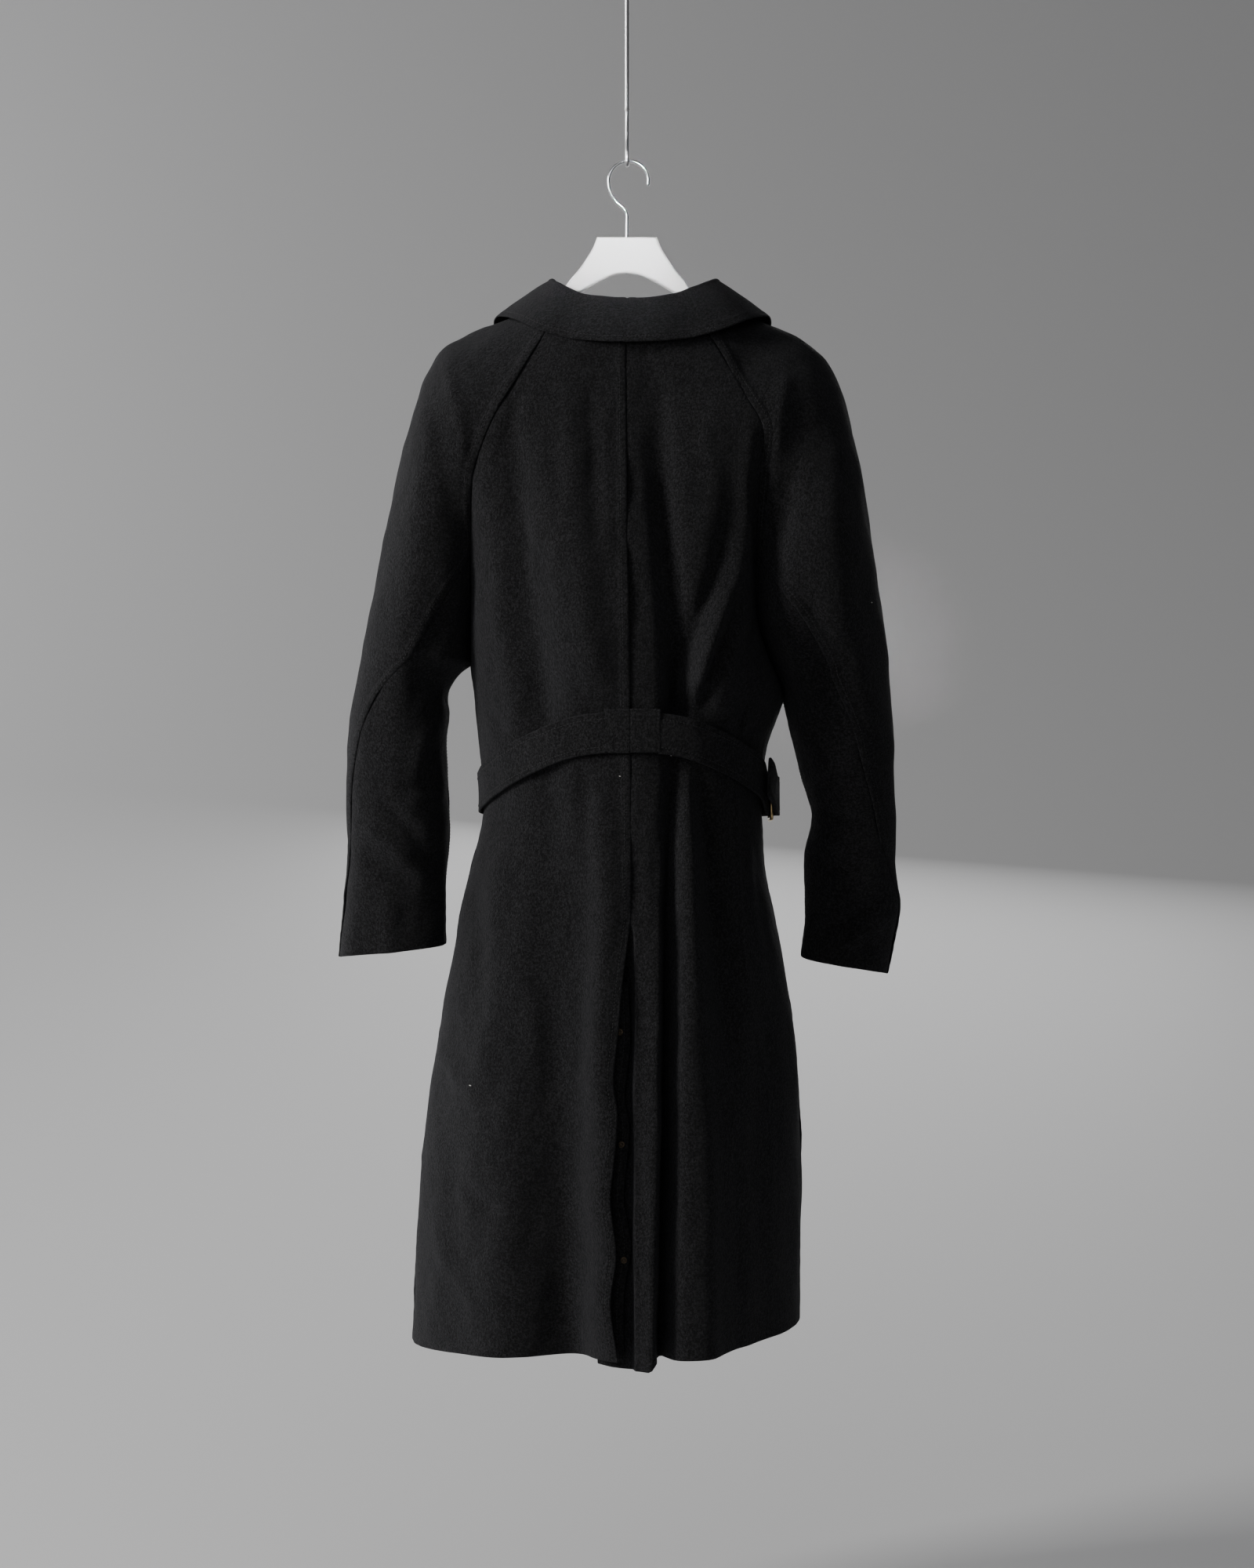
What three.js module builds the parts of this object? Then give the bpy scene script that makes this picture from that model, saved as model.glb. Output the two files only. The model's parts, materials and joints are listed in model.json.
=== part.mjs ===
// A knee-length motorcycle coat hanging on a hanger, in millimetres.
// Frame: the origin is the top end of the rod that carries the hanger, +Z is up,
// the coat's back faces -Y and the wearer's right is at +X.
import * as THREE from 'three';

// Driving sizes.
const CLOTH = 2;
const SEAM_GAP = 0.3;
const BELT_WIDTH = 42;
const BELT_THICKNESS = 3.6;
const BELT_CLEARANCE = 2;
const TAB_WIDTH = 59;
const BUTTON_DIAMETER = 24;
const SNAP_DIAMETER = 9;
const FRONT_OVERLAP = 32;
const HOOK_WIRE = 3.5;
const ROD_DIAMETER = 5;
const VENT_TOP_Z = -1000;
const HALF = 0.5;

const LEFT = -1;
const RIGHT = 1;
const SIDE_NAMES = { [LEFT]: 'left', [RIGHT]: 'right' };

// Tables: each row is one station, and each column has a name.
function table(columns, rows) {
  const names = columns.split(' ');
  return rows.map((row) => Object.fromEntries(names.map((name, i) => [name, row[i]])));
}

// Smooth interpolation of every column of a table at one value of its key column.
function at(rows, key, value) {
  const last = rows.length - 1;
  const clamped = Math.min(Math.max(value, Math.min(rows[0][key], rows[last][key])),
    Math.max(rows[0][key], rows[last][key]));
  const rising = rows[last][key] > rows[0][key];
  let i = 0;
  while (i < last - 1 && (rising ? clamped > rows[i + 1][key] : clamped < rows[i + 1][key])) {
    i += 1;
  }
  const a = rows[i];
  const b = rows[i + 1];
  const before = rows[Math.max(i - 1, 0)];
  const after = rows[Math.min(i + 2, last)];
  const span = b[key] - a[key];
  const s = (clamped - a[key]) / span;
  const result = {};
  for (const name of Object.keys(a)) {
    const slopeA = span * (b[name] - before[name]) / (b[key] - before[key]);
    const slopeB = span * (after[name] - a[name]) / (after[key] - a[key]);
    result[name] = a[name] * (2 * s ** 3 - 3 * s ** 2 + 1) + slopeA * (s ** 3 - 2 * s ** 2 + s)
      + b[name] * (3 * s ** 2 - 2 * s ** 3) + slopeB * (s ** 3 - s ** 2);
  }
  return result;
}

function point(row) {
  return new THREE.Vector3(row.x, row.y, row.z);
}

function vec(x, y, z) {
  return new THREE.Vector3(x, y, z);
}

function bezier(p0, p1, p2, p3, t) {
  const u = 1 - t;
  return p0.clone().multiplyScalar(u ** 3)
    .addScaledVector(p1, 3 * u * u * t)
    .addScaledVector(p2, 3 * u * t * t)
    .addScaledVector(p3, t ** 3);
}

function smooth(x) {
  const s = Math.min(Math.max(x, 0), 1);
  return s * s * (3 - 2 * s);
}

// Rails. v runs from 0 at the neck seam through 1 at the armpit to 2 at the hem or cuff.
const CENTRE_BACK = table('v x y z', [
  [0.00, -2, -88, -377],
  [0.33, -1, -105, -500],
  [0.60, 0, -125, -600],
  [0.87, 2, -135, -700],
  [1.00, 2.5, -132, -750],
  [1.07, 3, -126, -800],
  [1.15, 3.5, -128, -855],
  [1.30, 4, -138, -959],
  [1.50, 4, -150, -1098],
  [1.80, 4, -165, -1307],
  [2.00, 4, -170, -1446],
]);

const CENTRE_FRONT = table('v x y z', [
  [0.00, 0, 58, -430],
  [0.30, 0, 84, -520],
  [0.60, 0, 102, -612],
  [1.00, 0, 118, -750],
  [1.15, 0, 112, -855],
  [1.50, 0, 130, -1098],
  [2.00, 0, 146, -1446],
]);

// The raglan back seam down to the armpit, and the side seam below it.
const BACK_SIDE = {
  [LEFT]: table('v x y z', [
    [0.00, -77, -72, -373],
    [0.05, -87, -80, -389],
    [0.20, -119, -92, -444],
    [0.29, -139, -95, -477],
    [0.42, -158, -90, -525],
    [0.50, -163, -80, -552],
    [0.63, -165, -60, -600],
    [0.80, -166, -34, -660],
    [1.00, -167, 0, -732],
    [1.05, -163, 1, -768],
    [1.13, -157, 2, -826],
    [1.22, -153.6, 2, -891],
    [1.30, -167, 3, -949],
    [1.40, -182.5, 4, -1021],
    [1.50, -195.5, 5, -1093],
    [1.60, -207.5, 6, -1166],
    [1.75, -221, 7, -1274],
    [2.00, -230, 8, -1455],
  ]),
  [RIGHT]: table('v x y z', [
    [0.00, 79, -72, -377],
    [0.05, 91, -81, -397],
    [0.19, 122, -92, -452],
    [0.29, 142, -95, -489],
    [0.40, 140, -88, -533],
    [0.48, 138.5, -79, -565],
    [0.61, 136, -64, -613],
    [0.78, 137, -44, -679],
    [0.88, 149, -27, -719],
    [1.00, 167, 0, -766],
    [1.04, 159.5, 1, -793],
    [1.09, 148, 2, -826],
    [1.15, 144, 2, -866],
    [1.24, 146, 2, -926],
    [1.30, 150.5, 3, -965],
    [1.40, 164, 4, -1032],
    [1.50, 176, 5, -1098],
    [1.60, 183.5, 6, -1165],
    [1.80, 186.5, 7, -1298],
    [2.00, 185, 8, -1432],
  ]),
};

// The raglan front seam down to the armpit; the side seam below it is shared with the back.
const FRONT_RAGLAN = {
  [LEFT]: table('v x y z', [
    [0.00, -76, 22, -378],
    [0.15, -101, 42, -428],
    [0.35, -130, 54, -497],
    [0.60, -152, 46, -592],
    [0.80, -163, 24, -664],
    [1.00, -167, 0, -732],
  ]),
  [RIGHT]: table('v x y z', [
    [0.00, 84, 22, -380],
    [0.15, 105, 42, -434],
    [0.35, 130, 54, -508],
    [0.60, 148, 46, -610],
    [0.80, 159, 24, -688],
    [1.00, 167, 0, -766],
  ]),
};

// The ridge over the shoulder and down the outside of the sleeve.
const OUTER = {
  [LEFT]: table('v x y z', [
    [0.00, -84, 0, -347],
    [0.05, -112, 0, -356.5],
    [0.10, -140, 0, -367.5],
    [0.15, -161, 0, -375],
    [0.20, -181, 0, -385],
    [0.25, -196, 0, -395],
    [0.30, -207.5, 0, -412],
    [0.37, -219, 0, -434],
    [0.48, -233, 0, -480],
    [0.62, -249, 0, -550],
    [0.80, -268, 0, -636],
    [1.00, -284, 0, -718],
    [1.20, -297, 3, -800],
    [1.40, -301, 7, -866],
    [1.60, -300, 11, -930],
    [1.80, -303.5, 14, -985],
    [2.00, -310, 16, -1046],
  ]),
  [RIGHT]: table('v x y z', [
    [0.00, 92, 0, -347],
    [0.05, 124, 0, -357.5],
    [0.10, 151, 0, -368],
    [0.15, 173, 0, -377],
    [0.20, 194, 0, -389],
    [0.25, 210, 0, -403],
    [0.30, 222, 0, -423],
    [0.37, 232, 0, -450],
    [0.48, 244, 0, -496],
    [0.62, 256, 0, -560],
    [0.80, 268, 0, -640],
    [1.00, 279, 0, -728],
    [1.20, 286, 3, -806],
    [1.40, 288, 7, -870],
    [1.60, 289, 11, -938],
    [1.78, 293, 14, -992],
    [2.00, 279, 16, -1064],
  ]),
};

// The inside of the sleeve, below the armpit.
const INNER = {
  [LEFT]: table('v x y z', [
    [1.00, -167, 0, -732],
    [1.04, -181, 0, -743],
    [1.10, -192, 1, -762],
    [1.30, -193.5, 4, -826],
    [1.54, -190.5, 9, -902],
    [1.75, -195, 13, -962],
    [2.00, -196, 16, -1032],
  ]),
  [RIGHT]: table('v x y z', [
    [1.00, 167, 0, -766],
    [1.10, 173, 1, -790],
    [1.30, 187, 4, -850],
    [1.45, 198, 7, -896],
    [1.60, 191, 10, -936],
    [1.80, 192, 13, -992],
    [2.00, 188, 16, -1045],
  ]),
};

// The back vent: the upper layer's free edge, and the edge of the fly behind it.
const VENT_EDGE = table('z x', [
  [-1000, 4],
  [-1067, -4.8],
  [-1115, -8.8],
  [-1163, -13.5],
  [-1195, -9.6],
  [-1243, -12.8],
  [-1282, -16.7],
  [-1338, -11],
  [-1386, -16.7],
  [-1448, -8.8],
]);
const FLY_EDGE = table('z x', [
  [-1060, 1],
  [-1123, 3.2],
  [-1179, -2.4],
  [-1211, 2.4],
  [-1282, -3.2],
  [-1330, 4],
  [-1378, -3.2],
  [-1450, -3.6],
]);
const SNAPS = table('x z', [
  [-4.8, -1113],
  [-3.2, -1227],
  [-0.8, -1344],
]);
const VENT_LIFT = 7;
const VENT_SWING = 0.4;
const VENT_STEP_V = 0.018;
const VENT_OPENING_V = 0.12;
const SEAM_SHARE = 10;
const UNDERLAP_STEP = 3.4;
const UNDERLAP_DEPTH = 9;
const UNDERLAP_DROP = 10;
const UNDERLAP_X = -34;
const UNDERLAP_TURN_X = 4.4;
const UNDERLAP_TURN_WIDTH = 4;
const UNDERLAP_DROP_V = 1.75;
const FLY_WIDTH = 42;
const FLY_DEPTH = 2.8;
const FLY_SEAT = 0.9;
const FLY_START_V = 0.09;

// How a section leaves the centre and reaches the side: handle lengths as shares of the
// chord, and the angles in degrees at which body and sleeve run into the seam.
const SECTION = table('v centre side bodyTurn sleeveTurn sleeveSide sleeveOuter', [
  [0.00, 0.36, 0.30, 28, -38, 0.30, 0.30],
  [0.15, 0.38, 0.32, 16, -22, 0.34, 0.34],
  [0.35, 0.42, 0.32, 22, 4, 0.36, 0.42],
  [0.50, 0.44, 0.34, 44, 30, 0.42, 0.62],
  [0.65, 0.46, 0.37, 68, 62, 0.54, 0.74],
  [0.82, 0.47, 0.38, 84, 82, 0.70, 0.76],
  [1.00, 0.47, 0.38, 90, 90, 0.80, 0.76],
  [1.25, 0.45, 0.37, 90, 90, 0.68, 0.66],
  [1.60, 0.43, 0.36, 90, 90, 0.56, 0.56],
  [2.00, 0.42, 0.36, 90, 90, 0.40, 0.40],
]);

// Where the elbow seam runs on the sleeve, as a share of the way round its section.
const ELBOW_SEAM = {
  [LEFT]: table('v share', [
    [0.665, 0.006],
    [0.69, 0.016],
    [0.81, 0.119],
    [0.91, 0.196],
    [1.04, 0.271],
    [1.14, 0.341],
    [1.23, 0.381],
    [1.36, 0.410],
    [1.49, 0.426],
    [1.65, 0.445],
    [2.00, 0.500],
  ]),
  [RIGHT]: table('v share', [
    [0.61, 0.006],
    [0.65, 0.022],
    [0.73, 0.085],
    [0.84, 0.160],
    [0.95, 0.207],
    [1.08, 0.248],
    [1.17, 0.272],
    [1.33, 0.297],
    [1.49, 0.337],
    [1.62, 0.387],
    [1.79, 0.460],
    [2.00, 0.500],
  ]),
};

// The largest folds of the back: x is the path, rise is outward and width is half a fold.
const FOLDS = [
  table('z x rise width', [
    [-440, -128, 0, 22],
    [-560, -118, -7, 24],
    [-700, -102, -14, 24],
    [-775, -92, -15, 20],
    [-830, -88, -6, 18],
    [-900, -80, -9, 24],
    [-1100, -73, -17, 31],
    [-1300, -64, -32, 39],
    [-1460, -59, -44, 41],
  ]),
  table('z x rise width', [
    [-420, -64, 0, 20],
    [-560, -54, 7, 22],
    [-700, -40, 11, 20],
    [-770, -31, 7, 18],
    [-800, -28, 0, 16],
    [-860, -26, 0, 16],
    [-920, -22, 6, 18],
    [-1100, -20, 8, 22],
    [-1460, -14, 6, 26],
  ]),
  table('z x rise width', [
    [-390, 12, 0, 16],
    [-520, 32, -7, 16],
    [-640, 45, -14, 15],
    [-770, 54, -26, 13],
    [-810, 52, -10, 12],
    [-860, 49, -12, 9],
    [-930, 45, -18, 8],
    [-1020, 43, -28, 8],
    [-1200, 40, -35, 8],
    [-1460, 36, -42, 8.5],
  ]),
  table('z x rise width', [
    [-470, 136, 0, 14],
    [-540, 128, 9, 15],
    [-640, 106, 15, 14],
    [-740, 77, 19, 12],
    [-785, 67, 6, 11],
    [-800, 65, 0, 10],
    [-860, 61, 3, 10],
    [-920, 62, 9, 12],
    [-1100, 62, 14, 18],
    [-1460, 62, 12, 22],
  ]),
  table('z x rise width', [
    [-580, 130, 0, 12],
    [-680, 116, 10, 13],
    [-760, 96, 12, 12],
    [-795, 90, 0, 10],
  ]),
  table('z x rise width', [
    [-640, 116, 0, 9],
    [-700, 96, -8, 9],
    [-760, 82, -10, 8],
    [-795, 78, 0, 8],
  ]),
  table('z x rise width', [
    [-835, 74, 0, 8],
    [-870, 78, -7, 9],
    [-930, 86, -10, 11],
    [-1060, 96, -8, 15],
    [-1200, 104, 0, 22],
  ]),
  table('z x rise width', [
    [-1040, 140, 0, 20],
    [-1150, 142, -6, 22],
    [-1280, 146, -8, 24],
    [-1460, 148, -10, 28],
  ]),
];

// The belt's middle line on the back, which holds the cloth's ridges down.
const BELT_ON_BACK = table('reach z', [
  [0, -805.5],
  [50, -811],
  [85, -822],
  [114, -836],
  [143, -853],
  [165, -868],
]);
const PINCH_INNER = 26;
const PINCH_WIDTH = 46;
const FOLD_RUN_OUT = 20;
const FOLD_FADE = 0.2;

// How far the cloth of the back stands out from its plain section at one place.
function foldRise(x, z) {
  let rise = 0;
  let dip = 0;
  for (const fold of FOLDS) {
    const inRange = z < fold[0].z && z > fold[fold.length - 1].z - FOLD_RUN_OUT;
    if (inRange) {
      const row = at(fold, 'z', z);
      const amount = row.rise * Math.exp(-(((x - row.x) / row.width) ** 2));
      rise += Math.max(amount, 0);
      dip += Math.min(amount, 0);
    }
  }
  const fromBelt = Math.abs(z - at(BELT_ON_BACK, 'reach', Math.abs(x)).z);
  return rise * smooth((fromBelt - PINCH_INNER) / PINCH_WIDTH) + dip;
}

// Seam gaps turn from sideways, on the raglan seams, to fore and aft below the armpit.
const ARMPIT_BLEND = 0.1;

function armpitTurn(v) {
  return smooth((v - 1 + ARMPIT_BLEND) / ARMPIT_BLEND);
}

// The plain section of the body, without folds: t runs from the centre to the side.
function bodySection(face, side, v, gap) {
  const centre = point(at(face === 'back' ? CENTRE_BACK : CENTRE_FRONT, 'v', v));
  const raglan = face === 'front' && v < 1;
  const edge = point(at(raglan ? FRONT_RAGLAN[side] : BACK_SIDE[side], 'v', v));
  const shape = at(SECTION, 'v', v);
  const outward = face === 'back' ? -1 : 1;
  const seam = armpitTurn(v);
  edge.x -= side * gap * (1 - HALF * seam);
  edge.y += outward * gap * seam;
  const chord = Math.hypot(edge.x - centre.x, edge.y - centre.y);
  const turn = THREE.MathUtils.degToRad(shape.bodyTurn);
  const drop = edge.z - centre.z;
  const p1 = centre.clone().add(vec(side * shape.centre * chord, 0, 0));
  const p2 = edge.clone().add(vec(-side * Math.cos(turn) * shape.side * chord,
    outward * Math.sin(turn) * shape.side * chord, -drop / 3));
  return [centre, p1, p2, edge];
}

// A point of the body's outer face. Below 0, t runs on past the centre onto the other side.
function bodyPoint(face, side, t, v, gap = SEAM_GAP * HALF) {
  const own = t < 0 ? -side : side;
  const section = bodySection(face, own, v, gap);
  const p = bezier(...section, Math.abs(t));
  if (face === 'back') {
    const ahead = bezier(...section, Math.abs(t) + 0.001);
    const along = ahead.sub(bezier(...section, Math.abs(t) - 0.001)).setZ(0).normalize();
    const outward = vec(own * along.y, -own * along.x, 0);
    const fade = 1 - smooth((Math.abs(t) - 1 + FOLD_FADE) / FOLD_FADE);
    p.addScaledVector(outward, foldRise(p.x, p.z) * fade);
  }
  return p;
}

const BISECTIONS = 24;

// The v at which a section of the plain body reaches one height.
function vAtZ(face, side, t, z) {
  let low = 0;
  let high = 2;
  for (let i = 0; i < BISECTIONS; i += 1) {
    const middle = (low + high) / 2;
    if (bezier(...bodySection(face, side, middle, 0), t).z > z) {
      low = middle;
    } else {
      high = middle;
    }
  }
  return low;
}

const SLEEVE_FRONT_FLATNESS = 0.9;

// A point of the sleeve's outer face: t runs from the back seam over the outside to the front.
function sleevePoint(side, t, v) {
  const low = v >= 1;
  const gap = SEAM_GAP * HALF;
  const seam = armpitTurn(v);
  const outer = point(at(OUTER[side], 'v', v));
  const shape = at(SECTION, 'v', v);
  const turn = THREE.MathUtils.degToRad(shape.sleeveTurn);
  const front = t > HALF;
  const outward = front ? 1 : -1;
  const seamRail = front ? FRONT_RAGLAN[side] : BACK_SIDE[side];
  const edge = point(at(low ? INNER[side] : seamRail, 'v', v));
  edge.x += side * gap * (1 - HALF * seam);
  edge.y += outward * gap * seam;
  const chord = edge.distanceTo(outer);
  const lift = (outer.z - edge.z) * (low ? 1 / 3 : 0.5);
  const p1 = edge.clone().add(vec(side * Math.cos(turn) * shape.sleeveSide * chord,
    outward * Math.sin(turn) * shape.sleeveSide * chord, lift));
  const bulge = shape.sleeveOuter * chord * (front ? SLEEVE_FRONT_FLATNESS : 1);
  const p2 = outer.clone().add(vec(0, outward * bulge, low ? -lift * HALF : 0));
  const share = front ? 2 * (1 - t) : 2 * t;
  return bezier(edge, p1, p2, outer, share);
}

const NUDGE = 0.002;

// The outward unit normal of a surface at one place; turn is 1 or -1.
function normalAt(surface, t, v, turn) {
  const dt = surface(t + NUDGE, v).sub(surface(t - NUDGE, v));
  const dv = surface(t, v + NUDGE).sub(surface(t, v - NUDGE));
  return dt.cross(dv).multiplyScalar(turn).normalize();
}

// A closed solid between two grids of points with the same rows and columns.
function solidBetween(outer, inner) {
  const rows = outer.length;
  const columns = outer[0].length;
  const positions = [...outer.flat(), ...inner.flat()].flatMap((p) => [p.x, p.y, p.z]);
  const innerStart = rows * columns;
  const index = [];
  const quad = (a, b, c, d) => index.push(a, b, c, a, c, d);
  for (let i = 0; i < rows - 1; i += 1) {
    for (let j = 0; j < columns - 1; j += 1) {
      const a = i * columns + j;
      quad(a, a + columns, a + columns + 1, a + 1);
      quad(innerStart + a, innerStart + a + 1, innerStart + a + columns + 1, innerStart + a + columns);
    }
  }
  for (let i = 0; i < rows - 1; i += 1) {
    const first = i * columns;
    const last = first + columns - 1;
    quad(first, innerStart + first, innerStart + first + columns, first + columns);
    quad(last, last + columns, innerStart + last + columns, innerStart + last);
  }
  for (let j = 0; j < columns - 1; j += 1) {
    const bottom = (rows - 1) * columns + j;
    quad(j, j + 1, innerStart + j + 1, innerStart + j);
    quad(bottom, innerStart + bottom, innerStart + bottom + 1, bottom + 1);
  }
  const geometry = new THREE.BufferGeometry();
  geometry.setAttribute('position', new THREE.Float32BufferAttribute(positions, 3));
  geometry.setIndex(signedVolume(positions, index) < 0 ? flipped(index) : index);
  return geometry;
}

function signedVolume(positions, index) {
  let volume = 0;
  const corner = (i) => vec(positions[3 * i], positions[3 * i + 1], positions[3 * i + 2]);
  for (let k = 0; k < index.length; k += 3) {
    volume += corner(index[k]).dot(corner(index[k + 1]).cross(corner(index[k + 2])));
  }
  return volume;
}

function flipped(index) {
  const result = [];
  for (let k = 0; k < index.length; k += 3) {
    result.push(index[k], index[k + 2], index[k + 1]);
  }
  return result;
}

// A cloth wall: the surface gives its outer face, and the inner face lies a wall further in.
function clothWall(surface, turn, rows, columnsAt, from = 0, thickness = CLOTH) {
  const outer = [];
  const inner = [];
  for (const v of rows) {
    const outerRow = [];
    const innerRow = [];
    for (const t of columnsAt(v)) {
      const p = surface(t, v);
      const n = normalAt(surface, t, v, turn);
      outerRow.push(p.clone().addScaledVector(n, from));
      innerRow.push(p.clone().addScaledVector(n, from - thickness));
    }
    outer.push(outerRow);
    inner.push(innerRow);
  }
  return solidBetween(outer, inner);
}

function evenly(from, to, count) {
  return Array.from({ length: count + 1 }, (_, i) => from + (to - from) * i / count);
}

const UPPER_ROWS = [0, 0.04, 0.1, 0.16, 0.22, 0.29, 0.36, 0.44, 0.52, 0.6, 0.68, 0.76, 0.84, 0.92, 1];
const ARMPIT_Z = -750;
const SKIRT_LENGTH = 696;
const VENT_V = 1 + (ARMPIT_Z - VENT_TOP_Z) / SKIRT_LENGTH;
const VENT_ROWS = [VENT_V, VENT_V + VENT_STEP_V, VENT_V + 0.043];
const BELT_ROWS = [1.04, 1.075, 1.11, 1.15, 1.19, 1.24, 1.3];
const BODY_ROWS = [...UPPER_ROWS, ...BELT_ROWS, ...VENT_ROWS, ...evenly(1.45, 2, 11)];
const SLEEVE_ROWS = [...UPPER_ROWS, 1.04, 1.1, 1.17, ...evenly(1.25, 2, 10)];

const CLOTH_MATERIAL = { color: 0x1c1c1f, roughness: 0.95, metalness: 0 };
const STEEL_MATERIAL = { color: 0xb9bcc0, roughness: 0.22, metalness: 1 };
const BRASS_MATERIAL = { color: 0x8a6f43, roughness: 0.35, metalness: 1 };
const HANGER_MATERIAL = { color: 0xe9e9ea, roughness: 0.5, metalness: 0 };
const BUTTON_MATERIAL = { color: 0x141415, roughness: 0.4, metalness: 0 };

const coat = new THREE.Group();

function addPiece(name, geometry, look) {
  const mesh = new THREE.Mesh(geometry, new THREE.MeshStandardMaterial(look));
  mesh.name = name;
  coat.add(mesh);
  return mesh;
}

// The share of a back section at which it reaches one x.
function shareAtX(side, v, x) {
  const section = bodySection('back', side, v, 0);
  let low = 0;
  let high = 1;
  for (let i = 0; i < BISECTIONS; i += 1) {
    const middle = (low + high) / 2;
    if (side * (bezier(...section, middle).x - x) < 0) {
      low = middle;
    } else {
      high = middle;
    }
  }
  return low;
}

// Columns of a panel, spread evenly between guides that follow its folds.
function guidedColumns(guides, counts) {
  const columns = [guides[0]];
  counts.forEach((count, i) => {
    columns.push(...evenly(guides[i], guides[i + 1], count).slice(1));
  });
  return columns;
}

const TROUGH = FOLDS[2];
const TROUGH_REACH = 15;
const TROUGH_LEAST_X = 34;
const RIDGE_MOST_SHARE = 0.5;
const TROUGH_MOST_SHARE = 0.75;
const GUIDE_SPACING = 0.12;
const LEFT_COLUMNS = [3, 3, 6];
const RIGHT_COLUMNS = [2, 2, 2, 4, 4, 6];
const TURN_SHARE = 0.008;

function leftBackColumns(v) {
  const z = at(CENTRE_BACK, 'v', v).z;
  const ridge = Math.min(shareAtX(LEFT, v, at(FOLDS[1], 'z', z).x), RIDGE_MOST_SHARE);
  const troughShare = shareAtX(LEFT, v, at(FOLDS[0], 'z', z).x);
  const trough = Math.min(Math.max(troughShare, ridge + GUIDE_SPACING), TROUGH_MOST_SHARE);
  return guidedColumns([0, ridge, trough, 1], LEFT_COLUMNS);
}

function rightBackColumns(v) {
  const z = at(CENTRE_BACK, 'v', v).z;
  const x = Math.max(at(TROUGH, 'z', z).x, TROUGH_LEAST_X);
  const start = v > VENT_ROWS[1] ? -shareAtX(LEFT, v, UNDERLAP_X) : 0;
  const turned = shareAtX(RIGHT, v, UNDERLAP_TURN_X + UNDERLAP_TURN_WIDTH);
  const guides = [start, Math.max(start, 0) + TURN_SHARE / 2, turned + TURN_SHARE,
    shareAtX(RIGHT, v, x - TROUGH_REACH), shareAtX(RIGHT, v, x), shareAtX(RIGHT, v, x + TROUGH_REACH), 1];
  return guidedColumns(guides, RIGHT_COLUMNS);
}

// How strongly the vent's free edge pulls at one place of the left back.
function ventReach(t) {
  return Math.min(Math.max(0, 1 - t / VENT_SWING), 1) ** 2;
}

function ventLift(t, v) {
  return VENT_LIFT * smooth((v - VENT_V) / VENT_OPENING_V) * ventReach(t);
}

// The left back's free edge below the vent's top swings aside and lifts off.
function backLeftPoint(t, v) {
  const p = bodyPoint('back', LEFT, t, v);
  p.x -= SEAM_GAP * HALF * Math.max(0, 1 - t * SEAM_SHARE);
  if (v > VENT_V) {
    const z = at(CENTRE_BACK, 'v', v).z;
    p.x += (at(VENT_EDGE, 'z', z).x - VENT_EDGE[0].x) * ventReach(t);
    p.y -= ventLift(t, v);
  }
  return p;
}

// The right back turns under at the vent and runs on behind the left one as its underlap.
function backRightPoint(t, v) {
  const p = bodyPoint('back', RIGHT, t, v);
  p.x += SEAM_GAP * HALF * Math.max(0, 1 - Math.abs(t) * SEAM_SHARE);
  const behind = 1 - smooth((p.x - UNDERLAP_TURN_X) / UNDERLAP_TURN_WIDTH);
  const sink = UNDERLAP_STEP * smooth((v - VENT_V) / VENT_STEP_V)
    + UNDERLAP_DEPTH * smooth((v - VENT_V) / VENT_OPENING_V);
  const trough = at(TROUGH, 'z', at(CENTRE_BACK, 'v', v).z).x;
  const middle = 1 - smooth((p.x - trough) / TROUGH_REACH + 1);
  p.y += sink * behind;
  p.z -= UNDERLAP_DROP * middle * smooth((v - UNDERLAP_DROP_V) / (2 - UNDERLAP_DROP_V));
  return p;
}

addPiece('back_left', clothWall(backLeftPoint, 1, BODY_ROWS, leftBackColumns), CLOTH_MATERIAL);
addPiece('back_right', clothWall(backRightPoint, -1, BODY_ROWS, rightBackColumns), CLOTH_MATERIAL);

// The vent's fly: a strip behind the left edge that carries the snaps.
function shareOnBack(v, x) {
  return x < at(CENTRE_BACK, 'v', v).x ? shareAtX(LEFT, v, x) : -shareAtX(RIGHT, v, x);
}

function flyPoint(s, v) {
  const z = at(CENTRE_BACK, 'v', v).z;
  const x = at(FLY_EDGE, 'z', z).x - FLY_WIDTH * s;
  const t = shareOnBack(v, x);
  const p = bodyPoint('back', LEFT, t, v);
  const sewn = CLOTH - FLY_SEAT - ventLift(t, v);
  p.y += FLY_DEPTH + (sewn - FLY_DEPTH) * smooth(s);
  return p;
}

const FLY_ROWS = [VENT_V + FLY_START_V, ...BODY_ROWS.filter((v) => v > VENT_V + FLY_START_V + 0.01)];
addPiece('vent_fly', clothWall(flyPoint, 1, FLY_ROWS, () => evenly(0, 1, 4)), CLOTH_MATERIAL);

// Round pieces that lie on a panel: a profile turned about the panel's normal.
function layOn(geometry, p, normal, clearance) {
  geometry.applyQuaternion(new THREE.Quaternion().setFromUnitVectors(vec(0, 1, 0), normal));
  const seat = p.clone().addScaledVector(normal, clearance);
  return geometry.translate(seat.x, seat.y, seat.z);
}

function discGeometry(diameter, thickness, rim, sides) {
  const r = diameter / 2;
  const profile = [[0, 0], [r - 0.4, 0], [r, thickness * 0.4], [r - 0.3, thickness],
    [r - rim, thickness], [r - rim - 0.8, thickness * 0.7], [0, thickness * 0.7]];
  return new THREE.LatheGeometry(profile.map(([x, y]) => new THREE.Vector2(x, y)), sides);
}

const SNAP_THICKNESS = 1.8;
const SNAP_RIM = 1.4;
const SNAP_SEAT = 0.7;

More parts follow.
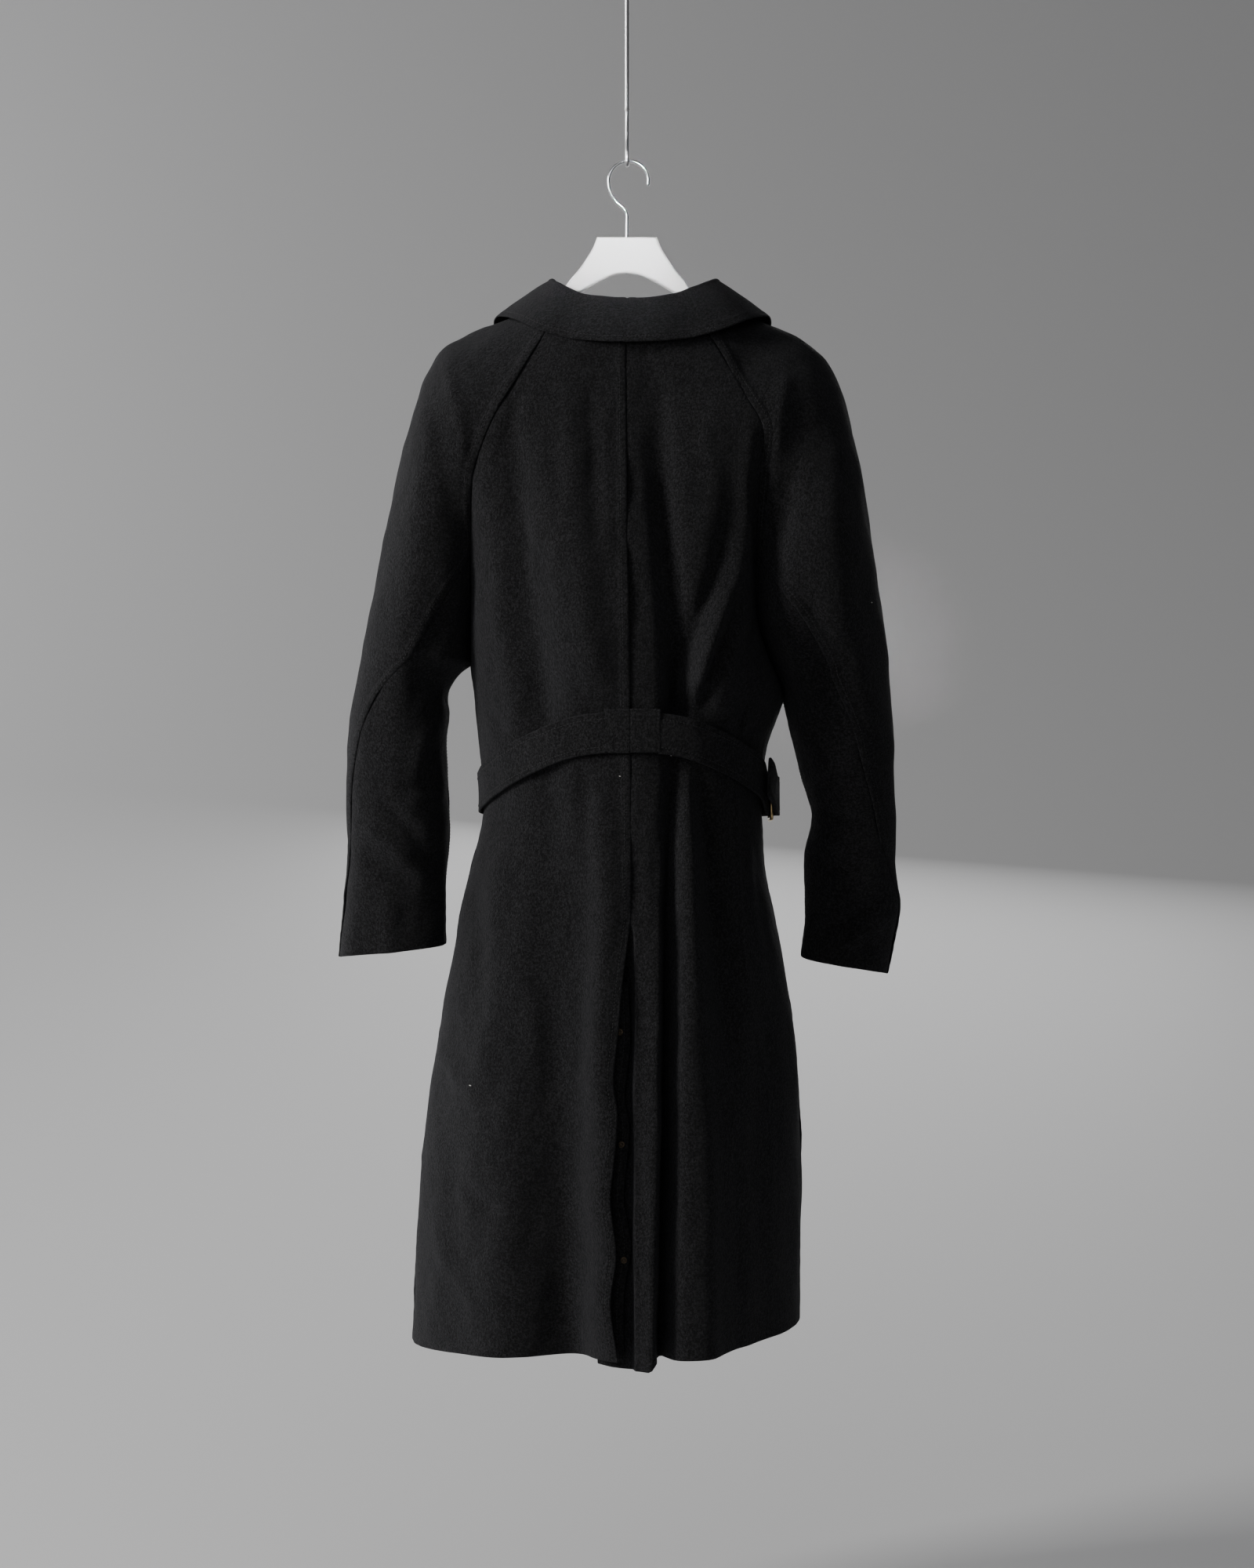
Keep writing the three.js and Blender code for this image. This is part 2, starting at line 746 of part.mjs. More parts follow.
SNAPS.forEach((snap, i) => {
  const v = vAtZ('back', LEFT, 0, snap.z);
  const share = (at(FLY_EDGE, 'z', snap.z).x - snap.x) / FLY_WIDTH;
  const normal = normalAt(flyPoint, share, v, 1);
  const disc = discGeometry(SNAP_DIAMETER, SNAP_THICKNESS, SNAP_RIM, 10);
  addPiece(`vent_snap_${i + 1}`, layOn(disc, flyPoint(share, v), normal, SNAP_SEAT), BRASS_MATERIAL);
});

// Fronts: the left one lies over the right one at the button line.
const FRONT_COLUMNS = 6;
const LAP_SHARE = 0.72;
const LAP_SOFTNESS = 30;

for (const side of [LEFT, RIGHT]) {
  const surface = (t, v) => {
    const p = bodyPoint('front', side, t, v);
    if (side === RIGHT) {
      const sink = 1 - smooth((p.x - FRONT_OVERLAP - 4) / LAP_SOFTNESS);
      p.y -= sink * (CLOTH + 3 * SEAM_GAP);
    }
    return p;
  };
  const columnsAt = (v) => {
    const width = Math.abs(at(v < 1 ? FRONT_RAGLAN[side] : BACK_SIDE[side], 'v', v).x);
    const lap = -FRONT_OVERLAP / width * LAP_SHARE;
    return [lap, lap / 2, 0, -lap / 2, ...evenly(-lap, 1, FRONT_COLUMNS)];
  };
  addPiece(`front_${SIDE_NAMES[side]}`, clothWall(surface, side, BODY_ROWS, columnsAt), CLOTH_MATERIAL);
}

// Sleeves: an upper piece over shoulder, outside and front, and an under piece behind.
const UPPER_SLEEVE_COLUMNS = 12;
const UNDER_SLEEVE_COLUMNS = 5;
const ELBOW_GAP_SHARE = 0.0008;

for (const side of [LEFT, RIGHT]) {
  const name = SIDE_NAMES[side];
  const seam = ELBOW_SEAM[side];
  const surface = (t, v) => sleevePoint(side, t, v);
  const shareAt = (v) => at(seam, 'v', v).share;
  const rows = [...SLEEVE_ROWS, seam[0].v].sort((a, b) => a - b);
  const upperStart = (v) => (v < seam[0].v ? 0 : shareAt(v) + ELBOW_GAP_SHARE);
  addPiece(`sleeve_${name}_upper`, clothWall(surface, -side, rows,
    (v) => evenly(upperStart(v), 1, UPPER_SLEEVE_COLUMNS)), CLOTH_MATERIAL);
  addPiece(`sleeve_${name}_under`, clothWall(surface, -side, rows.filter((v) => v >= seam[0].v),
    (v) => evenly(0, shareAt(v) - ELBOW_GAP_SHARE, UNDER_SLEEVE_COLUMNS)), CLOTH_MATERIAL);
}

// Collar: a stand on the neck edge that folds over into the fall.
const COLLAR_FOLD = table('u left right y z', [
  [0.00, 0, 0, -76, -351],
  [0.10, -22, 26, -75, -350],
  [0.20, -45, 50, -69, -345.5],
  [0.30, -62, 70, -60, -337],
  [0.40, -75, 88, -42, -327.5],
  [0.47, -80, 95.5, -18, -322.5],
  [0.55, -76, 90, 8, -331],
  [0.70, -56, 62, 40, -366],
  [0.85, -30, 32, 56, -400],
  [1.00, -5, 5, 64, -420],
]);
const COLLAR_EDGE = table('u left right y z', [
  [0.00, 0, 0, -102, -401],
  [0.10, -30, 34, -100, -400],
  [0.20, -62, 66, -92, -395.5],
  [0.30, -93, 101, -84, -385],
  [0.38, -118, 130, -60, -371],
  [0.46, -140.5, 152.5, -10, -361.5],
  [0.54, -142, 153, 24, -374],
  [0.70, -118, 124, 62, -425],
  [0.85, -82, 84, 80, -470],
  [1.00, -46, 46, 88, -500],
]);
const COLLAR_FOLD_RADIUS = 4;
const COLLAR_SEAT = 0.5;
const COLLAR_TURN = 160;
const NECK_RISE = 1.4;
const NECK_SPLIT = { back: 0.3, front: 0.6 };
const COLLAR_END = 0.985;
const COLLAR_COLUMNS = [
  ...evenly(0, NECK_SPLIT.back, 5),
  ...evenly(NECK_SPLIT.back, NECK_SPLIT.front, 6).slice(1),
  ...evenly(NECK_SPLIT.front, COLLAR_END, 6).slice(1),
];

// The neck edge at one place round the collar, on the inner face of the walls.
function neckPoint(side, u) {
  const low = 0.001;
  if (u <= NECK_SPLIT.back) {
    const t = u / NECK_SPLIT.back;
    const surface = (a, b) => bodyPoint('back', side, a, b);
    return surface(t, 0).addScaledVector(normalAt(surface, t, low, -side), -CLOTH);
  }
  if (u <= NECK_SPLIT.front) {
    const t = (u - NECK_SPLIT.back) / (NECK_SPLIT.front - NECK_SPLIT.back);
    const surface = (a, b) => sleevePoint(side, a, b);
    return surface(t, 0).addScaledVector(normalAt(surface, t, low, -side), -CLOTH)
      .add(vec(0, 0, NECK_RISE));
  }
  const t = 1 - (u - NECK_SPLIT.front) / (1 - NECK_SPLIT.front);
  const surface = (a, b) => bodyPoint('front', side, a, b);
  return surface(t, 0).addScaledVector(normalAt(surface, t, low, side), -CLOTH);
}

// One section of the collar, from the neck edge up, over the fold and down to the edge.
function collarSection(side, u) {
  const name = SIDE_NAMES[side];
  const rail = (rows) => {
    const row = at(rows, 'u', u);
    return vec(row[name], row.y, row.z);
  };
  const root = neckPoint(side, u).add(vec(0, 0, COLLAR_SEAT));
  const fold = rail(COLLAR_FOLD);
  const edge = rail(COLLAR_EDGE);
  const out = edge.clone().sub(root).setZ(0).normalize();
  const middle = fold.clone().add(vec(0, 0, -COLLAR_FOLD_RADIUS));
  const turnAt = (degrees) => {
    const a = THREE.MathUtils.degToRad(degrees);
    return middle.clone().addScaledVector(out, -COLLAR_FOLD_RADIUS * Math.cos(a))
      .add(vec(0, 0, COLLAR_FOLD_RADIUS * Math.sin(a)));
  };
  const start = turnAt(0);
  const end = turnAt(COLLAR_TURN);
  const bow = end.clone().lerp(edge, HALF).addScaledVector(out, 2).add(vec(0, 0, 2));
  const fall = (s) => end.clone().multiplyScalar((1 - s) ** 2)
    .addScaledVector(bow, 2 * s * (1 - s)).addScaledVector(edge, s * s);
  return [root, root.clone().lerp(start, HALF), start, turnAt(60), turnAt(110), end,
    fall(0.35), fall(0.7), fall(1)];
}

// The collar's sections in order from one front end round the back to the other.
function collarGeometry() {
  const stations = [
    ...COLLAR_COLUMNS.slice(1).reverse().map((u) => [LEFT, u]),
    ...COLLAR_COLUMNS.map((u) => [RIGHT, u]),
  ];
  const face = stations.map(([side, u]) => collarSection(side, u));
  const inner = face.map((row, i) => row.map((p, j) => {
    const ahead = face[Math.min(i + 1, face.length - 1)][j];
    const behind = face[Math.max(i - 1, 0)][j];
    const up = row[Math.min(j + 1, row.length - 1)];
    const down = row[Math.max(j - 1, 0)];
    const n = ahead.clone().sub(behind).cross(up.clone().sub(down)).normalize();
    return p.clone().addScaledVector(n, -CLOTH);
  }));
  return solidBetween(face, inner);
}

addPiece('collar', collarGeometry(), CLOTH_MATERIAL);

// Belt: s runs 0 to 1 over the left back, to 2 over the left front, to 3 over the right
// front and to 4 over the right back.
const BELT_LINE = table('s z', [
  [0.0, -805.5],
  [0.2, -811],
  [0.4, -827],
  [0.6, -845],
  [0.8, -860],
  [1.0, -870],
  [2.0, -880],
  [2.85, -874],
  [3.0, -873],
  [3.12, -871],
  [3.22, -857],
  [3.4, -841],
  [3.6, -825],
  [3.8, -811],
  [4.0, -805.5],
]);
const BELT_FACES = [['back', LEFT], ['front', LEFT], ['front', RIGHT], ['back', RIGHT]];

function beltPoint(s, rise) {
  const quarter = Math.min(Math.floor(s), 3);
  const [face, side] = BELT_FACES[quarter];
  const t = quarter % 2 === 0 ? s - quarter : quarter + 1 - s;
  const z = at(BELT_LINE, 's', s).z + rise;
  return bezier(...bodySection(face, side, vAtZ(face, side, t, z), 0), t);
}

// The outward horizontal direction of the belt at one place.
function beltNormal(s) {
  const along = beltPoint(Math.min(s + 0.01, 4), 0).sub(beltPoint(Math.max(s - 0.01, 0), 0));
  return vec(along.y, -along.x, 0).negate().normalize();
}

function strapGeometry(stations, offsetAt, thickness, width) {
  const rises = [width / 2, 0, -width / 2];
  const layer = (extra) => stations.map((s) => rises.map((rise) => beltPoint(s, rise)
    .addScaledVector(beltNormal(s), offsetAt(s) + extra)));
  return solidBetween(layer(thickness), layer(0));
}

const TAB_CENTRE_X = 5.6;
const tabShare = (side) => shareAtX(side, 1.08, TAB_CENTRE_X + side * TAB_WIDTH / 2);
const TAB_START = tabShare(LEFT);
const TAB_END = 4 - tabShare(RIGHT);
const END_GAP = 0.003;
const BUCKLE = {
  frontBar: 2.89, rearBar: 3.11, height: 54, wire: 3.6, bar: 4, lift: 3.2, corner: 5, innerCorner: 2,
};
const BUCKLE_SEAT = BELT_CLEARANCE + BUCKLE.lift + BELT_THICKNESS + 4.5 * SEAM_GAP;
const OVER_REAR_BAR = BUCKLE_SEAT + BUCKLE.wire + 4 * SEAM_GAP;

const BELT_RAMP = 0.15;

const longStations = [...evenly(TAB_START + END_GAP, 1, 8), ...evenly(1, 2, 7).slice(1),
  ...evenly(2, 2.85, 6).slice(1), ...evenly(2.9, 3.26, 6)];
const longOffset = (s) => BELT_CLEARANCE + BUCKLE.lift * smooth((s - 2.7) / BELT_RAMP)
  + (OVER_REAR_BAR - BELT_CLEARANCE - BUCKLE.lift) * smooth((s - BUCKLE.frontBar - 0.02) / BELT_RAMP);
addPiece('belt_long', strapGeometry(longStations, longOffset, BELT_THICKNESS, BELT_WIDTH), CLOTH_MATERIAL);
const SHORT_START = 3.07;
const shortStations = evenly(SHORT_START, TAB_END - END_GAP, 10);
const shortOffset = (s) => BELT_CLEARANCE + BUCKLE.lift * smooth((3.4 - s) / 0.2);
addPiece('belt_short', strapGeometry(shortStations, shortOffset, BELT_THICKNESS, BELT_WIDTH),
  CLOTH_MATERIAL);

const TAB_OVERHANG = 1.5;
const TAB_COVER = 0.6;

function tabGeometry() {
  const layer = (offset) => evenly(-1, 1, 4).map((k) => [1, 0, -1].map((row) => {
    const x = TAB_CENTRE_X + k * TAB_WIDTH / 2;
    const side = x < 3 ? LEFT : RIGHT;
    const z = BELT_LINE[0].z + row * (BELT_WIDTH / 2 + TAB_OVERHANG);
    const v = vAtZ('back', side, 0.1, z);
    return bezier(...bodySection('back', side, v, 0), shareAtX(side, v, x)).add(vec(0, -offset, 0));
  }));
  return solidBetween(layer(BELT_CLEARANCE + BELT_THICKNESS + TAB_COVER), layer(BELT_CLEARANCE - TAB_COVER));
}

addPiece('belt_tab', tabGeometry(), CLOTH_MATERIAL);

// Buckle: a frame whose rear bar lies on the short strap and whose front bar on the long one.
function buckleFrame() {
  const spot = (s) => beltPoint(s, 0).addScaledVector(beltNormal(s), BUCKLE_SEAT);
  const front = spot(BUCKLE.frontBar);
  const rear = spot(BUCKLE.rearBar);
  const along = front.clone().sub(rear);
  const length = along.length();
  along.normalize();
  const flat = vec(along.y, -along.x, 0).normalize();
  const outward = flat.dot(beltNormal(BUCKLE.frontBar)) > 0 ? flat : flat.negate();
  const up = outward.clone().cross(along);
  const basis = new THREE.Matrix4().makeBasis(along, up, outward);
  return { basis, length, rear, along, up, outward };
}

const frameSeat = buckleFrame();

function roundedRectangle(halfWidth, halfHeight, radius) {
  const shape = new THREE.Shape();
  shape.moveTo(halfWidth - radius, -halfHeight);
  shape.absarc(halfWidth - radius, -halfHeight + radius, radius, -Math.PI / 2, 0);
  shape.absarc(halfWidth - radius, halfHeight - radius, radius, 0, Math.PI / 2);
  shape.absarc(-halfWidth + radius, halfHeight - radius, radius, Math.PI / 2, Math.PI);
  shape.absarc(-halfWidth + radius, -halfHeight + radius, radius, Math.PI, 1.5 * Math.PI);
  return shape;
}

function buckleGeometry() {
  const outline = roundedRectangle(frameSeat.length / 2 + BUCKLE.bar / 2, BUCKLE.height / 2,
    BUCKLE.corner);
  outline.holes.push(roundedRectangle(frameSeat.length / 2 - BUCKLE.bar / 2,
    BUCKLE.height / 2 - BUCKLE.bar, BUCKLE.innerCorner));
  const frame = new THREE.ExtrudeGeometry(outline,
    { depth: BUCKLE.wire, bevelEnabled: false, curveSegments: 4 });
  frame.applyMatrix4(frameSeat.basis);
  const centre = frameSeat.rear.clone().addScaledVector(frameSeat.along, frameSeat.length / 2);
  return frame.translate(centre.x, centre.y, centre.z);
}

addPiece('buckle_frame', buckleGeometry(), BRASS_MATERIAL);

// Buttons down the front, on the left front's overlap.
const BUTTON_HEIGHTS = [-452, -570, -690, -810, -1000];
const BUTTON_THICKNESS = 4;
const BUTTON_RIM = 3;
const BUTTON_SEAT = 0.7;
BUTTON_HEIGHTS.forEach((z, i) => {
  const surface = (t, v) => bodyPoint('front', LEFT, t, v);
  const v = vAtZ('front', LEFT, 0, z);
  const p = surface(0, v);
  const disc = discGeometry(BUTTON_DIAMETER, BUTTON_THICKNESS, BUTTON_RIM, 14);
  addPiece(`button_${i + 1}`, layOn(disc, p, normalAt(surface, 0.01, v, LEFT), BUTTON_SEAT),
    BUTTON_MATERIAL);
});

// Hanger: a flat shaped board whose arms carry the shoulders.
const HANGER_THICKNESS = 10;
const HANGER_UNDER_CLOTH = 4.9;
const HANGER_TOP = -274.5;
const ARM_V = [0.02, 0.05, 0.1, 0.15, 0.19, 0.215];
const TIP_ROUNDING = 3;
const ARM_DEPTH = 26;
const TIP_DEPTH = 15.6;
const TIP_REACH = 2;
const ARM_SLANT = 6;

function armPoints(side) {
  return ARM_V.map((v, i) => {
    const ridge = at(OUTER[side], 'v', v);
    const rounding = i === ARM_V.length - 1 ? TIP_ROUNDING : 0;
    return [ridge.x, ridge.z - HANGER_UNDER_CLOTH - rounding];
  });
}

function hangerGeometry() {
  const neck = [[32, HANGER_TOP], [36.5, -286], [44, -298.5], [52.5, -310.5], [62, -321.5], [70, -334],
    [75.5, -351]];
  const arch = [[66, -345], [46, -331.5], [31, -323], [15, -315.5], [0, -313]];
  const rightTop = [...neck, ...armPoints(RIGHT)];
  const leftTop = [...neck.map(([x, z]) => [-x, z]), ...armPoints(LEFT)];
  const under = (top, side) => top.slice(neck.length + 1).map(([x, z], i, all) => {
    const tip = i === all.length - 1;
    return [x + side * (tip ? TIP_REACH : -ARM_SLANT), z - (tip ? TIP_DEPTH : ARM_DEPTH)];
  }).reverse();
  const outline = [...leftTop.slice().reverse(), ...rightTop, ...under(rightTop, RIGHT),
    ...arch, ...arch.slice(0, -1).reverse().map(([x, z]) => [-x, z]), ...under(leftTop, LEFT).reverse()];
  const shape = new THREE.Shape(outline.map(([x, z]) => new THREE.Vector2(x, z)));
  const board = new THREE.ExtrudeGeometry(shape, { depth: HANGER_THICKNESS, bevelEnabled: false });
  return board.rotateX(Math.PI / 2).translate(0, HANGER_THICKNESS / 2, 0);
}

addPiece('hanger', hangerGeometry(), HANGER_MATERIAL);

// Hook of the hanger and the rod that carries it.
const HOOK_CENTRE = { x: 1.7, z: -213.9 };
const HOOK_RADIUS = 21.4;
const ROD_BREAK_Z = -140;
const ROD_END_DIAMETER = 4.5;

function tube(points, diameter, sides, steps) {
  const path = new THREE.CatmullRomCurve3(points);
  const section = new THREE.Shape();
  section.absarc(0, 0, diameter / 2, 0, 2 * Math.PI);
  return new THREE.ExtrudeGeometry(section, { extrudePath: path, steps, curveSegments: sides / 2 });
}

function arcPoints(centre, radius, from, to, count) {
  return evenly(from, to, count).map((degrees) => {
    const a = THREE.MathUtils.degToRad(degrees);
    return [centre.x + radius * Math.cos(a), centre.z + radius * Math.sin(a)];
  });
}

const hookPath = [[0, HANGER_TOP + SEAM_GAP], [0, -262], [0, -250], [-4, -243], [-12, -235.5], [-18, -225],
  ...arcPoints(HOOK_CENTRE, HOOK_RADIUS, 178, -12, 12)];
addPiece('hanger_hook', tube(hookPath.map(([x, z]) => vec(x, 0, z)), HOOK_WIRE, 8, 34), STEEL_MATERIAL);

const bendRadius = HOOK_WIRE / 2 + ROD_END_DIAMETER / 2 + SEAM_GAP;
const bendCentre = { x: 0, z: HOOK_CENTRE.z + HOOK_RADIUS };
const rodPath = [[0, ROD_BREAK_Z - SEAM_GAP], [0, -155], [-1, -170], [-bendRadius, -183],
  ...arcPoints(bendCentre, bendRadius, 180, 360, 8), [bendRadius, bendCentre.z + 6]];
addPiece('rod_end', tube(rodPath.map(([y, z]) => vec(0, y, z)), ROD_END_DIAMETER, 8, 30), STEEL_MATERIAL);
const rodTop = new THREE.CylinderGeometry(ROD_DIAMETER / 2, ROD_DIAMETER / 2, -ROD_BREAK_Z, 20);
addPiece('rod', rodTop.rotateX(Math.PI / 2).translate(0, 0, ROD_BREAK_Z / 2), STEEL_MATERIAL);

export default coat;
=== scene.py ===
"""The look of a motorcycle coat that hangs on a hanger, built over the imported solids."""

import json
import math

import bpy
import numpy as np
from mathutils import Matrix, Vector

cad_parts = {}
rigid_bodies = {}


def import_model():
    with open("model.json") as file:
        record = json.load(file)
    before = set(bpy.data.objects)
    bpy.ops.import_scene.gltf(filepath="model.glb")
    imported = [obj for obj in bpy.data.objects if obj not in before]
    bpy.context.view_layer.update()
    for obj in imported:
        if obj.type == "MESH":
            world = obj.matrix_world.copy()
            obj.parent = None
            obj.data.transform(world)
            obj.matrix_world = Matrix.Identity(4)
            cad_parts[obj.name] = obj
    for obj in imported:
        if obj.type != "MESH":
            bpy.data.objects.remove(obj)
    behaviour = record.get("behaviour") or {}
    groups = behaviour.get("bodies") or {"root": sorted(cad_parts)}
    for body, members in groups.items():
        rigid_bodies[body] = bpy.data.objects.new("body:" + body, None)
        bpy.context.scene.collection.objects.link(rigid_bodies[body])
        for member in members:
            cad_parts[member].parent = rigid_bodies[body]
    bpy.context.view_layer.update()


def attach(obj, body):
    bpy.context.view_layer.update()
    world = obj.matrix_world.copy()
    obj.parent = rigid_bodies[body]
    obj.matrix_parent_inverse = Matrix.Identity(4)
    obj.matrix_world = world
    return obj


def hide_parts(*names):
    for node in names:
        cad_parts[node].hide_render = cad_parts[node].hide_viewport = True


MM = 0.001
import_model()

# Camera: level, square on to the coat's back, as in the photograph.
CAMERA_DISTANCE = 3.2
CAMERA_HEIGHT = -0.86
camera_data = bpy.data.cameras.new("camera")
camera_data.sensor_width = 36
camera_data.lens = 68.57
camera_data.clip_end = 60
camera = bpy.data.objects.new("camera", camera_data)
bpy.context.scene.collection.objects.link(camera)
camera.location = (0, -CAMERA_DISTANCE, CAMERA_HEIGHT)
camera.rotation_euler = (math.pi / 2, 0, 0)
bpy.context.scene.camera = camera


# Tables: each row is one station, and each column has a name.
def table(columns, rows):
    data = np.array(rows, float)
    return {name: data[:, i] for i, name in enumerate(columns.split())}


def tables(columns, groups):
    """One table for each group of rows."""
    return [table(columns, rows) for rows in groups]


def at(tab, key, value):
    """Every column of a table at values of its key column, by smooth interpolation."""
    keys = tab[key]
    sign = 1.0 if keys[-1] > keys[0] else -1.0
    k = keys * sign
    x = np.clip(np.asarray(value, float) * sign, k[0], k[-1])
    i = np.clip(np.searchsorted(k, x, side="left") - 1, 0, len(k) - 2)
    before = np.maximum(i - 1, 0)
    after = np.minimum(i + 2, len(k) - 1)
    span = k[i + 1] - k[i]
    s = (x - k[i]) / span
    result = {}
    for name, column in tab.items():
        if name == key:
            continue
        slope_a = span * (column[i + 1] - column[before]) / (k[i + 1] - k[before])
        slope_b = span * (column[after] - column[i]) / (k[after] - k[i])
        result[name] = (
            column[i] * (2 * s**3 - 3 * s**2 + 1)
            + slope_a * (s**3 - 2 * s**2 + s)
            + column[i + 1] * (3 * s**2 - 2 * s**3)
            + slope_b * (s**3 - s**2)
        )
    return result


def stack(x, y, z):
    return np.stack(np.broadcast_arrays(x, y, z), -1).astype(float)


def run_along(points):
    """How far along a line each of its points lies."""
    return np.concatenate([[0], np.linalg.norm(np.diff(points, axis=0), axis=1).cumsum()])


def bisect(short, shape, high):
    """The places between 0 and high at which short turns false."""
    low, high = np.zeros(shape), np.full(shape, float(high))
    for _ in range(24):
        middle = (low + high) / 2
        before = short(middle)
        low, high = np.where(before, middle, low), np.where(before, high, middle)
    return low


def rail(tab, v):
    row = at(tab, "v", v)
    return stack(row["x"], row["y"], row["z"])


def smooth(x):
    s = np.clip(x, 0, 1)
    return s * s * (3 - 2 * s)


def bell(x):
    return np.exp(-np.square(x))


def unit(a):
    return a / np.maximum(np.linalg.norm(a, axis=-1, keepdims=True), 1e-9)


def bezier(p0, p1, p2, p3, t):
    t = np.asarray(t, float)[..., None]
    u = 1 - t
    return p0 * u**3 + p1 * (3 * u * u * t) + p2 * (3 * u * t * t) + p3 * t**3


LEFT = -1
RIGHT = 1
SIDE_NAMES = {LEFT: "left", RIGHT: "right"}

# Sizes in millimetres.
CLOTH = 1.8
BELT_WIDTH = 42
BELT_THICKNESS = 3.6
BELT_CLEARANCE = 2
TAB_WIDTH = 59
TAB_CENTRE_X = 5.6
FRONT_OVERLAP = 32
SOLID_CLOTH = 2
ARMPIT_Z = -750
ARMPIT_TO_HEM = 696
VENT_TOP_Z = -1000
VENT_V = 1 - (VENT_TOP_Z - ARMPIT_Z) / ARMPIT_TO_HEM

# Rails: v runs from 0 at the neck seam through 1 at the armpit to 2 at the hem or cuff.
CENTRE_BACK = table("v x y z", [
    (0.00, -2, -88, -377), (0.33, -1, -105, -500), (0.60, 0, -125, -600), (0.87, 2, -135, -700),
    (1.00, 2.5, -132, -750), (1.07, 3, -126, -800), (1.15, 3.5, -128, -855), (1.30, 4, -138, -959),
    (1.50, 4, -150, -1098), (1.80, 4, -165, -1307), (2.00, 4, -170, -1446),
])
CENTRE_FRONT = table("v x y z", [
    (0.00, 0, 58, -430), (0.30, 0, 84, -520), (0.60, 0, 102, -612), (1.00, 0, 118, -750),
    (1.15, 0, 112, -855), (1.50, 0, 130, -1098), (2.00, 0, 146, -1446),
])

# The raglan back seam down to the armpit, and the side seam below it.
BACK_SIDE = {
    LEFT: table("v x y z", [
        (0.00, -77, -72, -373), (0.05, -87, -80, -389), (0.20, -119, -92, -444), (0.29, -139, -95, -477),
        (0.42, -158, -90, -525), (0.50, -163, -80, -552), (0.63, -165, -60, -600), (0.80, -166, -34, -660),
        (1.00, -167, 0, -732), (1.05, -163, 1, -768), (1.13, -157, 2, -826), (1.22, -153.6, 2, -891),
        (1.30, -167, 3, -949), (1.40, -182.5, 4, -1021), (1.50, -195.5, 5, -1093), (1.60, -207.5, 6, -1166),
        (1.75, -221, 7, -1274), (2.00, -230, 8, -1455),
    ]),
    RIGHT: table("v x y z", [
        (0.00, 79, -72, -377), (0.05, 91, -81, -397), (0.19, 122, -92, -452), (0.29, 142, -95, -489),
        (0.40, 140, -88, -533), (0.48, 138.5, -79, -565), (0.61, 136, -64, -613), (0.78, 137, -44, -679),
        (0.88, 149, -27, -719), (1.00, 167, 0, -766), (1.04, 159.5, 1, -793), (1.09, 148, 2, -826),
        (1.15, 144, 2, -866), (1.24, 146, 2, -926), (1.30, 150.5, 3, -965), (1.40, 164, 4, -1032),
        (1.50, 176, 5, -1098), (1.60, 183.5, 6, -1165), (1.80, 186.5, 7, -1298), (2.00, 185, 8, -1432),
    ]),
}

# The raglan front seam down to the armpit.
FRONT_RAGLAN = {
    LEFT: table("v x y z", [
        (0.00, -76, 22, -378), (0.15, -101, 42, -428), (0.35, -130, 54, -497), (0.60, -152, 46, -592),
        (0.80, -163, 24, -664), (1.00, -167, 0, -732),
    ]),
    RIGHT: table("v x y z", [
        (0.00, 84, 22, -380), (0.15, 105, 42, -434), (0.35, 130, 54, -508), (0.60, 148, 46, -610),
        (0.80, 159, 24, -688), (1.00, 167, 0, -766),
    ]),
}

# The ridge over the shoulder and down the outside of the sleeve.
OUTER = {
    LEFT: table("v x y z", [
        (0.00, -84, 0, -347), (0.05, -112, 0, -356.5), (0.10, -140, 0, -367.5), (0.15, -161, 0, -375),
        (0.20, -181, 0, -385), (0.25, -196, 0, -395), (0.30, -207.5, 0, -412), (0.37, -219, 0, -434),
        (0.48, -233, 0, -480), (0.62, -249, 0, -550), (0.80, -268, 0, -636), (1.00, -284, 0, -718),
        (1.20, -297, 3, -800), (1.40, -301, 7, -866), (1.60, -300, 11, -930), (1.80, -303.5, 14, -985),
        (2.00, -310, 16, -1046),
    ]),
    RIGHT: table("v x y z", [
        (0.00, 92, 0, -347), (0.05, 124, 0, -357.5), (0.10, 151, 0, -368), (0.15, 173, 0, -377),
        (0.20, 194, 0, -389), (0.25, 210, 0, -403), (0.30, 222, 0, -423), (0.37, 232, 0, -450),
        (0.48, 244, 0, -496), (0.62, 256, 0, -560), (0.80, 268, 0, -640), (1.00, 279, 0, -728),
        (1.20, 286, 3, -806), (1.40, 288, 7, -870), (1.60, 289, 11, -938), (1.78, 293, 14, -992),
        (2.00, 279, 16, -1064),
    ]),
}

# The inside of the sleeve, below the armpit.
INNER = {
    LEFT: table("v x y z", [
        (1.00, -167, 0, -732), (1.04, -181, 0, -743), (1.10, -192, 1, -762), (1.30, -193.5, 4, -826),
        (1.54, -190.5, 9, -902), (1.75, -195, 13, -962), (2.00, -196, 16, -1032),
    ]),
    RIGHT: table("v x y z", [
        (1.00, 167, 0, -766), (1.10, 173, 1, -790), (1.30, 187, 4, -850), (1.45, 198, 7, -896),
        (1.60, 191, 10, -936), (1.80, 192, 13, -992), (2.00, 188, 16, -1045),
    ]),
}

